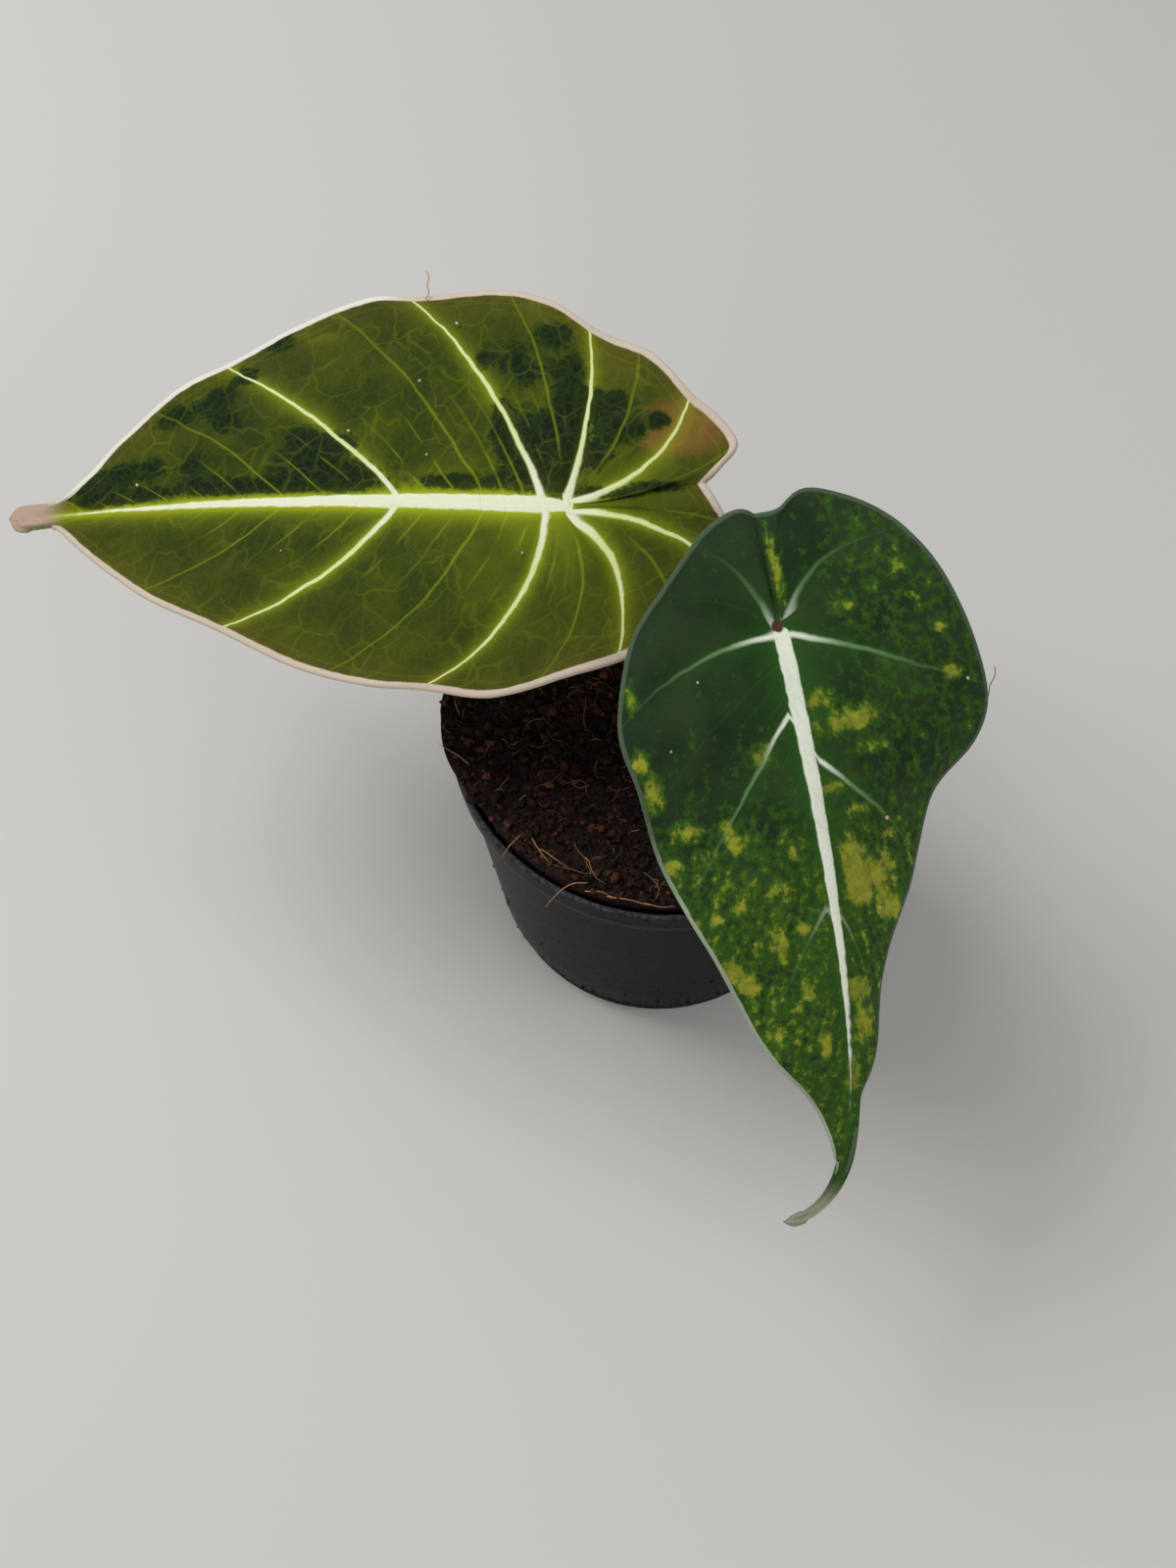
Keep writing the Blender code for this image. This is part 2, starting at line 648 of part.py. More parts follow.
def build_petiole(name, side, leaf, colour):
    """A petiole, thickest in its socket and tapering to the blade."""
    points = petiole_line(side, leaf)
    radii = []
    for k in range(len(points)):
        share = max(0, k - 1) / (len(points) - 2)
        radii.append(PETIOLE_BASE_RADIUS + (PETIOLE_TOP_RADIUS - PETIOLE_BASE_RADIUS) * share)
    return finish(tube(points, radii, PETIOLE_SIDES), name, colour, 0.5)


def clear_scene():
    """Removes what a new scene holds."""
    for thing in list(bpy.data.objects):
        bpy.data.objects.remove(thing, do_unlink=True)


def main():
    clear_scene()
    base = bpy.data.objects.new("alocasia", None)
    bpy.context.scene.collection.objects.link(base)
    pieces = [
        build_pot(),
        build_soil(),
        build_crown(),
        build_petiole("left_petiole", -1, LEFT_LEAF, PETIOLE_COLOUR),
        build_petiole("right_petiole", 1, RIGHT_LEAF, PETIOLE_COLOUR),
        build_blade(LEFT_LEAF),
        build_blade(RIGHT_LEAF),
    ]
    for piece in pieces:
        piece.parent = base


main()
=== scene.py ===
"""Alocasia black velvet in its nursery pot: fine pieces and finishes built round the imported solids.

Lengths are in millimetres until a mesh is written, which turns them into metres. +Z is up and the
origin is the middle of the flat under the pot. The leaves repeat the solids' plans, so the fine
pieces keep their forms.
"""

import bisect
import logging
import math
import random
from collections.abc import Mapping, Sequence
from dataclasses import dataclass, field
from enum import Enum

import bmesh
import bpy
from mathutils import Matrix, Vector, noise


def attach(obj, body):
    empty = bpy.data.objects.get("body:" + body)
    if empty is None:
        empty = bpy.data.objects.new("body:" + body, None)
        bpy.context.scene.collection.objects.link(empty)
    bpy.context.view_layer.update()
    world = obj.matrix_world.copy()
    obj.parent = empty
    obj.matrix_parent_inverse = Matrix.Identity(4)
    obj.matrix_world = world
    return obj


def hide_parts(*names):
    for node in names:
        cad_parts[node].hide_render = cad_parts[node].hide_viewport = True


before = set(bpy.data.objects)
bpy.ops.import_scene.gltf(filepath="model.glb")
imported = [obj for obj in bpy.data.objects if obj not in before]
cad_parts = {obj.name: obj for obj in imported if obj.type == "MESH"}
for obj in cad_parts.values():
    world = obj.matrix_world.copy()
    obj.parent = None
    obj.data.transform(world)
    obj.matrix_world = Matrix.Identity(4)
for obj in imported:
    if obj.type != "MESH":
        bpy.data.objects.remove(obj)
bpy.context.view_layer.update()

Colour = tuple[float, float, float, float]
Table = tuple[tuple[float, ...], ...]

MM = 0.001
MERGE = 1e-6
LAST_ROW = 6
NO_VEIN = 20.0  # The distance that stands for no vein nearby
TOP_MARK = 100.0  # The height that marks the coir's top until it has its own
FIRST_SIDE = Vector((0.31, 0.95, 0.0)).normalized()  # Where a tube's first side faces
LOG = logging.getLogger("alocasia")


def paint(red: int, green: int, blue: int) -> Colour:
    """Turns a screen colour into Blender's linear colour.

    Args:
        red: Red from 0 to 255.
        green: Green from 0 to 255.
        blue: Blue from 0 to 255.

    Returns:
        The linear colour with full alpha.
    """
    shares = (value / 255.0 for value in (red, green, blue))
    linear = [s / 12.92 if s <= 0.04045 else ((s + 0.055) / 1.055) ** 2.4 for s in shares]
    return (linear[0], linear[1], linear[2], 1.0)


class Wire:
    """A node socket that takes part in Python expressions."""

    def __init__(self, recipe: "Recipe", socket: bpy.types.NodeSocket) -> None:
        """Keeps the recipe that new nodes go into, and the socket."""
        self.recipe = recipe
        self.socket = socket

    def __add__(self, other: "Wire | float") -> "Wire":
        """Adds."""
        return self.recipe.maths("ADD", self, other)

    def __radd__(self, other: float) -> "Wire":
        """Adds to a number."""
        return self.recipe.maths("ADD", other, self)

    def __sub__(self, other: "Wire | float") -> "Wire":
        """Subtracts."""
        return self.recipe.maths("SUBTRACT", self, other)

    def __rsub__(self, other: float) -> "Wire":
        """Subtracts from a number."""
        return self.recipe.maths("SUBTRACT", other, self)

    def __mul__(self, other: "Wire | float") -> "Wire":
        """Multiplies."""
        return self.recipe.maths("MULTIPLY", self, other)

    def __rmul__(self, other: float) -> "Wire":
        """Multiplies a number."""
        return self.recipe.maths("MULTIPLY", other, self)

    def __truediv__(self, other: "Wire | float") -> "Wire":
        """Divides."""
        return self.recipe.maths("DIVIDE", self, other)

    def pingpong(self, reach: float) -> "Wire":
        """Distance to the nearest multiple of twice the reach."""
        return self.recipe.maths("PINGPONG", self, reach)

    def fades(self, length: float) -> "Wire":
        """Falls from 1 at zero to about a third at a length."""
        return self.recipe.maths("EXPONENT", self * (-1.0 / length))

    def most(self, other: "Wire | float") -> "Wire":
        """The larger of two values."""
        return self.recipe.maths("MAXIMUM", self, other)

    def rises(self, low: "Wire | float", high: "Wire | float") -> "Wire":
        """Rises smoothly from 0 at low to 1 at high.

        Args:
            low: Where the rise starts.
            high: Where it ends.

        Returns:
            The risen value.
        """
        inputs = {"Value": self, "From Min": low, "From Max": high}
        return self.recipe.node("ShaderNodeMapRange", {"interpolation_type": "SMOOTHSTEP"}, inputs)


class Recipe:
    """A material that is written as expressions on wires."""

    def __init__(self, name: str) -> None:
        """Starts a material with its Principled shader.

        Args:
            name: The material's name.
        """
        self.material = bpy.data.materials.new(name)
        self.material.use_nodes = True
        self.tree = self.material.node_tree
        self.shader = self.tree.nodes["Principled BSDF"]

    def feed(self, socket: bpy.types.NodeSocket, value: "Wire | float | Sequence[float]") -> None:
        """Links a wire to a socket, or sets the socket's own value.

        Args:
            socket: The input.
            value: What it gets.
        """
        if isinstance(value, Wire):
            self.tree.links.new(value.socket, socket)
        else:
            socket.default_value = value

    def node(
        self,
        kind: str,
        settings: Mapping[str, object] | None = None,
        inputs: Mapping[int | str, object] | None = None,
        output: int | str = 0,
    ) -> Wire:
        """Adds any node.

        Args:
            kind: The node's type.
            settings: Its properties, or stops for a colour ramp, set before the sockets.
            inputs: Values or wires by socket.
            output: The socket that is read.

        Returns:
            The read socket as a wire.
        """
        made = self.tree.nodes.new(kind)
        for key, value in (settings or {}).items():
            if key == "stops":
                self.set_stops(made.color_ramp, value)
            else:
                setattr(made, key, value)
        for key, value in (inputs or {}).items():
            self.feed(made.inputs[key], value)
        return Wire(self, made.outputs[output])

    def set_stops(self, ramp: bpy.types.ColorRamp, stops: Sequence[tuple[float, Colour]]) -> None:
        """Gives a colour ramp its stops, as pairs of place and colour.

        Args:
            ramp: The ramp.
            stops: Places from 0 to 1, each with its colour.
        """
        while len(ramp.elements) < len(stops):
            ramp.elements.new(1.0)
        for element, (place, colour) in zip(ramp.elements, stops):
            element.position = place
            element.color = colour

    def maths(self, operation: str, first: Wire | float, second: Wire | float = 0.0) -> Wire:
        """A Math node on one or two numbers."""
        return self.node("ShaderNodeMath", {"operation": operation}, {0: first, 1: second})

    def attribute(self, name: str, output: str = "Fac") -> Wire:
        """A named attribute of the piece's own mesh."""
        return self.node("ShaderNodeAttribute", {"attribute_name": name}, output=output)

    def place(self) -> Wire:
        """The point on the piece in millimetres."""
        point = self.node("ShaderNodeTexCoord", output="Object")
        return self.scaled(point, (1.0 / MM,) * 3)

    def scaled(self, vector: Wire, factors: Sequence[float]) -> Wire:
        """A vector multiplied part by part."""
        return self.node("ShaderNodeVectorMath", {"operation": "MULTIPLY"}, {0: vector, 1: factors})

    def moved(self, vector: Wire, other: Wire | Sequence[float]) -> Wire:
        """A vector with another one added."""
        return self.node("ShaderNodeVectorMath", {"operation": "ADD"}, {0: vector, 1: other})

    def distance(self, vector: Wire, other: Sequence[float]) -> Wire:
        """How far a vector is from a fixed point."""
        settings = {"operation": "DISTANCE"}
        return self.node("ShaderNodeVectorMath", settings, {0: vector, 1: other}, "Value")

    def joined(self, x: Wire | float, y: Wire | float, z: Wire | float = 0.0) -> Wire:
        """A vector of three values."""
        return self.node("ShaderNodeCombineXYZ", None, {0: x, 1: y, 2: z})

    def part(self, vector: Wire, axis: str) -> Wire:
        """One part of a vector."""
        return self.node("ShaderNodeSeparateXYZ", None, {0: vector}, axis)

    def noise(self, vector: Wire, scale: float, detail: float = 2.0, rough: float = 0.5) -> Wire:
        """Cloudy noise between 0 and 1.

        Args:
            vector: Where it is read.
            scale: Lumps for each unit of the vector.
            detail: How many finer layers it has.
            rough: How strong those are.

        Returns:
            The noise.
        """
        inputs = {"Vector": vector, "Scale": scale, "Detail": detail, "Roughness": rough}
        return self.node("ShaderNodeTexNoise", None, inputs, "Fac")

    def net(self, vector: Wire, scale: float) -> Wire:
        """Distance to the borders of a net of uneven cells."""
        settings, inputs = {"feature": "DISTANCE_TO_EDGE"}, {"Vector": vector, "Scale": scale}
        return self.node("ShaderNodeTexVoronoi", settings, inputs, "Distance")

    def grains(self, vector: Wire, scale: float) -> Wire:
        """One grey value for each uneven cell."""
        made = self.node("ShaderNodeTexVoronoi", None, {"Vector": vector, "Scale": scale}, "Color")
        return self.node("ShaderNodeSeparateColor", None, {0: made}, "Red")

    def blend(self, mask: Wire | float, first: Wire | Colour, second: Wire | Colour) -> Wire:
        """Mixes two colours.

        Args:
            mask: 0 gives the first, 1 the second.
            first: The first colour.
            second: The second colour.

        Returns:
            The mixed colour.
        """
        settings = {"data_type": "RGBA"}
        return self.node("ShaderNodeMix", settings, {0: mask, 6: first, 7: second}, 2)

    def ramp(self, value: Wire, stops: Sequence[tuple[float, Colour]]) -> Wire:
        """A colour read from a ramp."""
        return self.node("ShaderNodeValToRGB", {"stops": stops}, {"Fac": value}, "Color")

    def bump(self, height: Wire, depth: float) -> Wire:
        """A normal that is tipped by a height, with the depth of 0 to 1 in millimetres."""
        inputs = {"Height": height, "Distance": depth * MM, "Strength": 1.0}
        return self.node("ShaderNodeBump", None, inputs)

    def finish(self, **sockets: object) -> bpy.types.Material:
        """Sets the shader's sockets, named with underscores for spaces.

        Args:
            sockets: Values or wires by socket.

        Returns:
            The material.
        """
        for name, value in sockets.items():
            self.feed(self.shader.inputs[name.replace("_", " ")], value)
        return self.material


def added(mesh: bmesh.types.BMesh, name: str, material: bpy.types.Material) -> bpy.types.Object:
    """Turns a bmesh into a smooth piece of the plant.

    Args:
        mesh: The bmesh, which is freed.
        name: The piece's name.
        material: Its finish.

    Returns:
        The new object, at the origin and riding on the only body.
    """
    data = bpy.data.meshes.new(name)
    mesh.to_mesh(data)
    mesh.free()
    data.shade_smooth()
    data.materials.append(material)
    piece = bpy.data.objects.new(name, data)
    bpy.context.scene.collection.objects.link(piece)
    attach(piece, "root")
    LOG.info("%s: %d faces", name, len(data.polygons))
    return piece


def sweep(
    mesh: bmesh.types.BMesh,
    line: Sequence[Vector],
    radii: Sequence[float],
    sides: int,
    tone: float = 0.5,
) -> None:
    """Draws a round section along a line with extrusions.

    Args:
        mesh: The bmesh that takes the tube.
        line: Its middle points in millimetres.
        radii: The radius at each point.
        sides: Faces round the tube.
        tone: How light the tube is, from 0 to 1, for finishes that read it.
    """
    shade = mesh.verts.layers.float.get("tone") or mesh.verts.layers.float.new("tone")
    order = mesh.verts.layers.int.get("ring_place") or mesh.verts.layers.int.new("ring_place")
    ring = bmesh.ops.create_circle(mesh, cap_ends=False, segments=sides, radius=1.0)["verts"]
    for k, vert in enumerate(ring):
        vert[order] = k
    every = []
    across = FIRST_SIDE
    for i, (centre, radius) in enumerate(zip(line, radii)):
        heading = (line[min(i + 1, len(line) - 1)] - line[max(i - 1, 0)]).normalized()
        across = (across - heading * across.dot(heading)).normalized()
        other = heading.cross(across)
        if i > 0:
            # A dict keeps the order of the edges, so that each run gives the same mesh
            nearby = dict.fromkeys(edge for vert in ring for edge in vert.link_edges)
            around = [edge for edge in nearby if set(edge.verts) <= set(ring)]
            grown = bmesh.ops.extrude_edge_only(mesh, edges=around)["geom"]
            fresh = [item for item in grown if isinstance(item, bmesh.types.BMVert)]
            ring = sorted(fresh, key=lambda vert: vert[order])
        for k, vert in enumerate(ring):
            angle = math.tau * k / sides
            spoke = across * math.cos(angle) + other * math.sin(angle)
            vert.co = (centre + spoke * radius) * MM
        every.extend(ring)
    for vert in every:
        vert[shade] = tone
    for end in (every[:sides], every[-sides:]):
        mesh.faces.new(end)


class Heap:
    """Gathers many small shapes in batches, because an operator slows down on a large mesh."""

    BATCH = 40

    def __init__(self) -> None:
        """Starts with nothing in it."""
        self.whole = self.fresh()
        self.part = self.fresh()
        self.count = 0

    def fresh(self) -> bmesh.types.BMesh:
        """An empty bmesh with the layer for each shape's tone.

        Returns:
            The new bmesh.
        """
        mesh = bmesh.new()
        mesh.verts.layers.float.new("tone")
        return mesh

    def room(self) -> bmesh.types.BMesh:
        """The bmesh that takes the next shape.

        Returns:
            The batch's bmesh.
        """
        self.count += 1
        if self.count % self.BATCH == 0:
            self.pour()
        return self.part

    def pour(self) -> None:
        """Moves the batch into the whole."""
        data = bpy.data.meshes.new("batch")
        self.part.to_mesh(data)
        self.part.free()
        self.whole.from_mesh(data)
        bpy.data.meshes.remove(data)
        self.part = self.fresh()

    def gathered(self) -> bmesh.types.BMesh:
        """Everything in one bmesh.

        Returns:
            The bmesh of all the shapes.
        """
        self.pour()
        self.part.free()
        return self.whole


def spun(profile: Sequence[tuple[float, float]], sides: int) -> bmesh.types.BMesh:
    """Spins a profile round Z.

    Args:
        profile: Radius and height pairs in millimetres, from axis to axis.
        sides: Faces round the shape.

    Returns:
        A closed bmesh in metres.
    """
    mesh = bmesh.new()
    verts = [mesh.verts.new((radius * MM, 0.0, height * MM)) for radius, height in profile]
    edges = [mesh.edges.new(pair) for pair in zip(verts, verts[1:])]
    bmesh.ops.spin(
        mesh,
        geom=verts + edges,
        cent=(0, 0, 0),
        axis=(0, 0, 1),
        angle=math.tau,
        steps=sides,
        use_merge=True,
    )
    bmesh.ops.remove_doubles(mesh, verts=mesh.verts, dist=MERGE)
    bmesh.ops.recalc_face_normals(mesh, faces=mesh.faces)
    return mesh


def smoothstep(low: float, high: float, x: float) -> float:
    """0 below low, 1 above high, with a smooth rise between."""
    t = min(1.0, max(0.0, (x - low) / (high - low)))
    return t * t * (3.0 - 2.0 * t)


def crowded(share: float, pull: float) -> float:
    """A share from 0 to 1, drawn towards its ends where the pull is more than 0."""
    return share - pull * math.sin(math.tau * share) / math.tau


class Curve:
    """A smooth curve through a table's points, whose first number is where they stand."""

    def __init__(self, table: Table) -> None:
        """Keeps the points and works out the slope at each.

        Args:
            table: The points, sorted by their first number.
        """
        self.starts = [point[0] for point in table]
        self.values = [point[1:] for point in table]
        last = len(table) - 1
        self.slopes = []
        for i in range(last + 1):
            before, after = table[max(i - 1, 0)], table[min(i + 1, last)]
            run = after[0] - before[0]
            self.slopes.append([(b - a) / run for a, b in zip(before[1:], after[1:])])

    def at(self, x: float) -> list[float]:
        """The curve's values at x.

        Args:
            x: Where the curve is read.

        Returns:
            The values there.
        """
        i = min(max(bisect.bisect_right(self.starts, x) - 1, 0), len(self.starts) - 2)
        span = self.starts[i + 1] - self.starts[i]
        t = (x - self.starts[i]) / span
        late = t * t * (3.0 - 2.0 * t)
        rise, fall = span * t * (1.0 - t) ** 2, span * t**2 * (t - 1.0)
        each = zip(self.values[i], self.slopes[i], self.values[i + 1], self.slopes[i + 1])
        return [(1.0 - late) * p + rise * m + late * q + fall * n for p, m, q, n in each]


class Mark(Enum):
    """What a patch on a blade is."""

    VARIEGATION = "variegation"
    BLUSH = "blush"


@dataclass(frozen=True)
class Patch:
    """A spot of another colour on a blade's plan, in millimetres from the petiole.

    long and wide are its half sizes along and across the midrib, and turn swings it in degrees.
    """

    along: float
    across: float
    long: float
    wide: float
    turn: float = 0.0
    mark: Mark = Mark.VARIEGATION

    def strength(self, along: float, across: float) -> float:
        """1 in the patch's middle, a half on its rim and nothing far off.

        Args:
            along: Distance from the petiole along the midrib.
            across: Distance from the midrib.

        Returns:
            The strength.
        """
        x, y = along - self.along, across - self.across
        if max(abs(x), abs(y)) > 3.0 * max(self.long, self.wide):
            return 0.0
        swing = math.radians(self.turn)
        forward = (x * math.cos(swing) + y * math.sin(swing)) / self.long
        sideways = (y * math.cos(swing) - x * math.sin(swing)) / self.wide
        return 2.0 ** -(forward**2 + sideways**2)


@dataclass(frozen=True)
class Half:
    """One half of a leaf's flat plan, in rows that run from the midrib to the margin.

    Row 0 runs back from the petiole to the notch, rows 1 to 5 are the main lateral veins and row 6
    is the tip. outline holds (row, along, across), foot holds (row, along) on the midrib, and bend
    holds (row, how far it bows out).
    """

    side: int
    outline: Table
    foot: Table
    bend: Table


@dataclass(frozen=True)
class Leaf:
    """A leaf's petiole joint, its midrib's directions and bends in degrees, and its two halves."""

    joint: tuple[float, float, float]
    heading: float
    pitch: float
    droop: float
    back_droop: float
    roll: float
    turn: Table
    fold: tuple[float, float]
    far_fold: tuple[float, float]
    bow: float
    minus: Half
    plus: Half
    midrib_radius: float = 1.7
    midrib_taper: float = 0.55
    fold_reach: float = 45.0
    bow_reach: float = 30.0


class Plan:
    """Reads positions on a leaf's flat plan."""

    def __init__(self, leaf: Leaf) -> None:
        """Keeps the leaf, its length and the curves of both halves.

        Args:
            leaf: The leaf.
        """
        self.leaf = leaf
        self.length = leaf.minus.outline[-1][1]
        self.curves = {}
        for half in (leaf.minus, leaf.plus):
            self.curves[half.side] = [Curve(each) for each in (half.outline, half.foot, half.bend)]
        self.bows: dict[tuple[int, float], tuple[Vector, Vector, Vector]] = {}

    def midrib_half_width(self, along: float) -> float:
        """Half the midrib's width: a round end behind the petiole and a taper to the tip.

        Args:
            along: Distance from the petiole.

        Returns:
            The half width.
        """
        radius = self.leaf.midrib_radius
        if along < 0.0:
            return math.sqrt(max(0.0, radius**2 - along**2))
        return radius * max(0.0, 1.0 - along / self.length) ** self.leaf.midrib_taper

    def foot(self, half: Half, row: float) -> Vector:
        """Where a row leaves the midrib's edge."""
        return self.bow(half, row)[0]

    def bow(self, half: Half, row: float) -> tuple[Vector, Vector, Vector]:
        """A row's bow on the plan.

        Args:
            half: The half of the leaf.
            row: The row, whole on the main lateral veins.

        Returns:
            The bow's start on the midrib, the handle that bends it and its end on the margin.
        """
        row = min(max(row, 0.0), LAST_ROW)
        key = (half.side, row)
        if key not in self.bows:
            outline, foot, bend = self.curves[half.side]
            along = foot.at(row)[0]
            inner = 0.0 if row in (0.0, LAST_ROW) else half.side * self.midrib_half_width(along)
            start, end = Vector((along, inner)), Vector(outline.at(row))
            chord = end - start
            outward = Vector((-half.side * chord.y, half.side * chord.x)).normalized()
            self.bows[key] = (start, (start + end) / 2.0 + outward * bend.at(row)[0], end)
        return self.bows[key]

    def point(self, half: Half, row: float, across: float) -> Vector:
        """The plan's point on a row.

        Args:
            half: The half of the leaf.
            row: The row.
            across: The share of the way from the midrib to the margin.

        Returns:
            The point on the plan.
        """
        start, handle, end = self.bow(half, row)
        rest = 1.0 - across
        return start * rest**2 + handle * (2.0 * rest * across) + end * across**2

    def spacing(self, half: Half, row: float, across: float) -> float:
        """Distance on the plan from one row to the next, in millimetres for each whole row.

        Args:
            half: The half of the leaf.
            row: The row.
            across: The share of the way from the midrib to the margin.

        Returns:
            The distance.
        """
        step = 0.05
        after, before = self.point(half, row + step, across), self.point(half, row - step, across)
        return (after - before).length / (2.0 * step)


class Surface:
    """Bends a leaf's flat plan into space, along a midrib that is walked in steps."""

    FIRST = -34.0
    STEP = 0.5
    SPARE = 4.0

    def __init__(self, leaf: Leaf, plan: Plan) -> None:
        """Walks the midrib once, so that its points are at hand.

        Args:
            leaf: The leaf.
            plan: Its plan.
        """
        self.leaf = leaf
        count = int((plan.length + self.SPARE - self.FIRST) / self.STEP)
        tangents = [self.frame(self.FIRST + i * self.STEP)[0] for i in range(count)]
        self.places = [Vector((0.0, 0.0, 0.0))]
        for before, after in zip(tangents, tangents[1:]):
            self.places.append(self.places[-1] + (before + after) * (self.STEP / 2.0))
        shift = Vector(leaf.joint) - self.spine_place(0.0)
        self.places = [place + shift for place in self.places]

    def frame(self, along: float) -> tuple[Vector, Vector, Vector]:
        """The midrib's direction, the direction across it and the normal, at a distance along it.

        Args:
            along: Distance from the petiole.

        Returns:
            The three directions.
        """
        leaf = self.leaf
        droop = leaf.droop if along > 0.0 else leaf.back_droop
        pitch = math.radians(leaf.pitch + droop * along)
        swing = sum(rate * max(0.0, along - start) for start, rate in leaf.turn)
        heading = math.radians(leaf.heading + swing)
        roll = math.radians(leaf.roll)
        ahead = Vector((math.cos(heading), math.sin(heading), 0.0))
        tangent = ahead * math.cos(pitch) - Vector((0.0, 0.0, math.sin(pitch)))
        level = Vector((-math.sin(heading), math.cos(heading), 0.0))
        beside = level * math.cos(roll) + tangent.cross(level) * math.sin(roll)
        return tangent, beside, tangent.cross(beside)

    def spine_place(self, along: float) -> Vector:
        """The midrib's point in space at a distance along it.

        Args:
            along: Distance from the petiole.

        Returns:
            The point.
        """
        at = (along - self.FIRST) / self.STEP
        i = min(max(int(at), 0), len(self.places) - 2)
        return self.places[i].lerp(self.places[i + 1], at - i)

    def place(self, along: float, across: float) -> tuple[Vector, Vector]:
        """A plan point in space, with the surface's normal there.

        Args:
            along: Distance from the petiole along the midrib.
            across: Distance from the midrib, negative on the minus half.

        Returns:
            The point and the normal.
        """
        leaf = self.leaf
        _, beside, normal = self.frame(along)
        side = 1 if across > 0.0 else 0
        blend = smoothstep(0.0, leaf.fold_reach, along)
        rise = math.radians(leaf.fold[side] + (leaf.far_fold[side] - leaf.fold[side]) * blend)
        curl = math.radians(leaf.bow) / leaf.bow_reach
        angle = rise - curl * abs(across)
        out = (math.sin(rise) - math.sin(angle)) / curl
        up = (math.cos(angle) - math.cos(rise)) / curl
        sign = math.copysign(1.0, across)
        facing = normal * math.cos(angle) - beside * (sign * math.sin(angle))
        return self.spine_place(along) + beside * (sign * out) + normal * up, facing


LEFT_LEAF = Leaf(
    joint=(-17.6, 18.5, 105.0),
    heading=171.0,
    pitch=9.0,
    droop=0.15,
    back_droop=0.05,
    roll=-12.0,
    turn=(),
    fold=(5.0, 5.0),
    far_fold=(5.0, 5.0),
    bow=8.0,
    minus=Half(
        side=-1,
        outline=((0, -22.0, -4.9), (0.3, -24.6, -8.2), (0.55, -26.3, -12.0), (0.8, -22.8, -16.4),
                 (1, -18.6, -19.4), (1.4, -11.0, -26.3), (2, -0.6, -30.7), (2.3, 7.0, -35.0),
                 (2.6, 17.0, -37.3), (3, 30.3, -36.0), (3.35, 38.9, -35.3), (3.7, 50.5, -31.6),
                 (4, 62.5, -24.8), (4.4, 73.1, -19.0), (4.8, 82.4, -12.2), (5, 86.4, -7.2),
                 (5.3, 90.2, -3.4), (5.6, 94.5, -2.4), (5.85, 101.8, -2.4), (6, 103.3, -0.6)),
        foot=((0, -1.7), (1, -1.4), (2, -0.2), (3, 4.0), (4, 28.5), (5, 70.0), (5.6, 91.0),
              (6, 101.0)),
        bend=((0, 0.0), (1, 8.0), (2, 4.0), (3, 5.0), (4, 3.5), (5, 2.0), (6, 0.0)),
    ),
    plus=Half(
        side=1,
        outline=((0, -22.0, -4.9), (0.35, -25.2, -0.4), (0.7, -28.2, 4.6), (1, -27.8, 10.0),
                 (1.4, -23.0, 17.2), (2, -12.0, 25.0), (2.4, -3.0, 28.6), (2.7, 8.0, 31.9),
                 (3, 19.0, 31.4), (3.3, 29.0, 31.2), (3.65, 42.3, 28.1), (4, 56.5, 22.2),
                 (4.4, 70.0, 16.8), (4.75, 80.0, 11.0), (5, 86.4, 6.6), (5.35, 91.2, 2.8),
                 (5.6, 94.8, 1.4), (5.85, 101.8, 1.1), (6, 103.3, -0.6)),
        foot=((0, -1.7), (1, -1.5), (2, -0.8), (3, 2.5), (4, 28.5), (5, 70.0), (5.6, 91.0),
              (6, 101.0)),
        bend=((0, 0.0), (1, 5.0), (2, 9.0), (3, 10.0), (4, 6.0), (5, 2.5), (6, 0.0)),
    ),
)

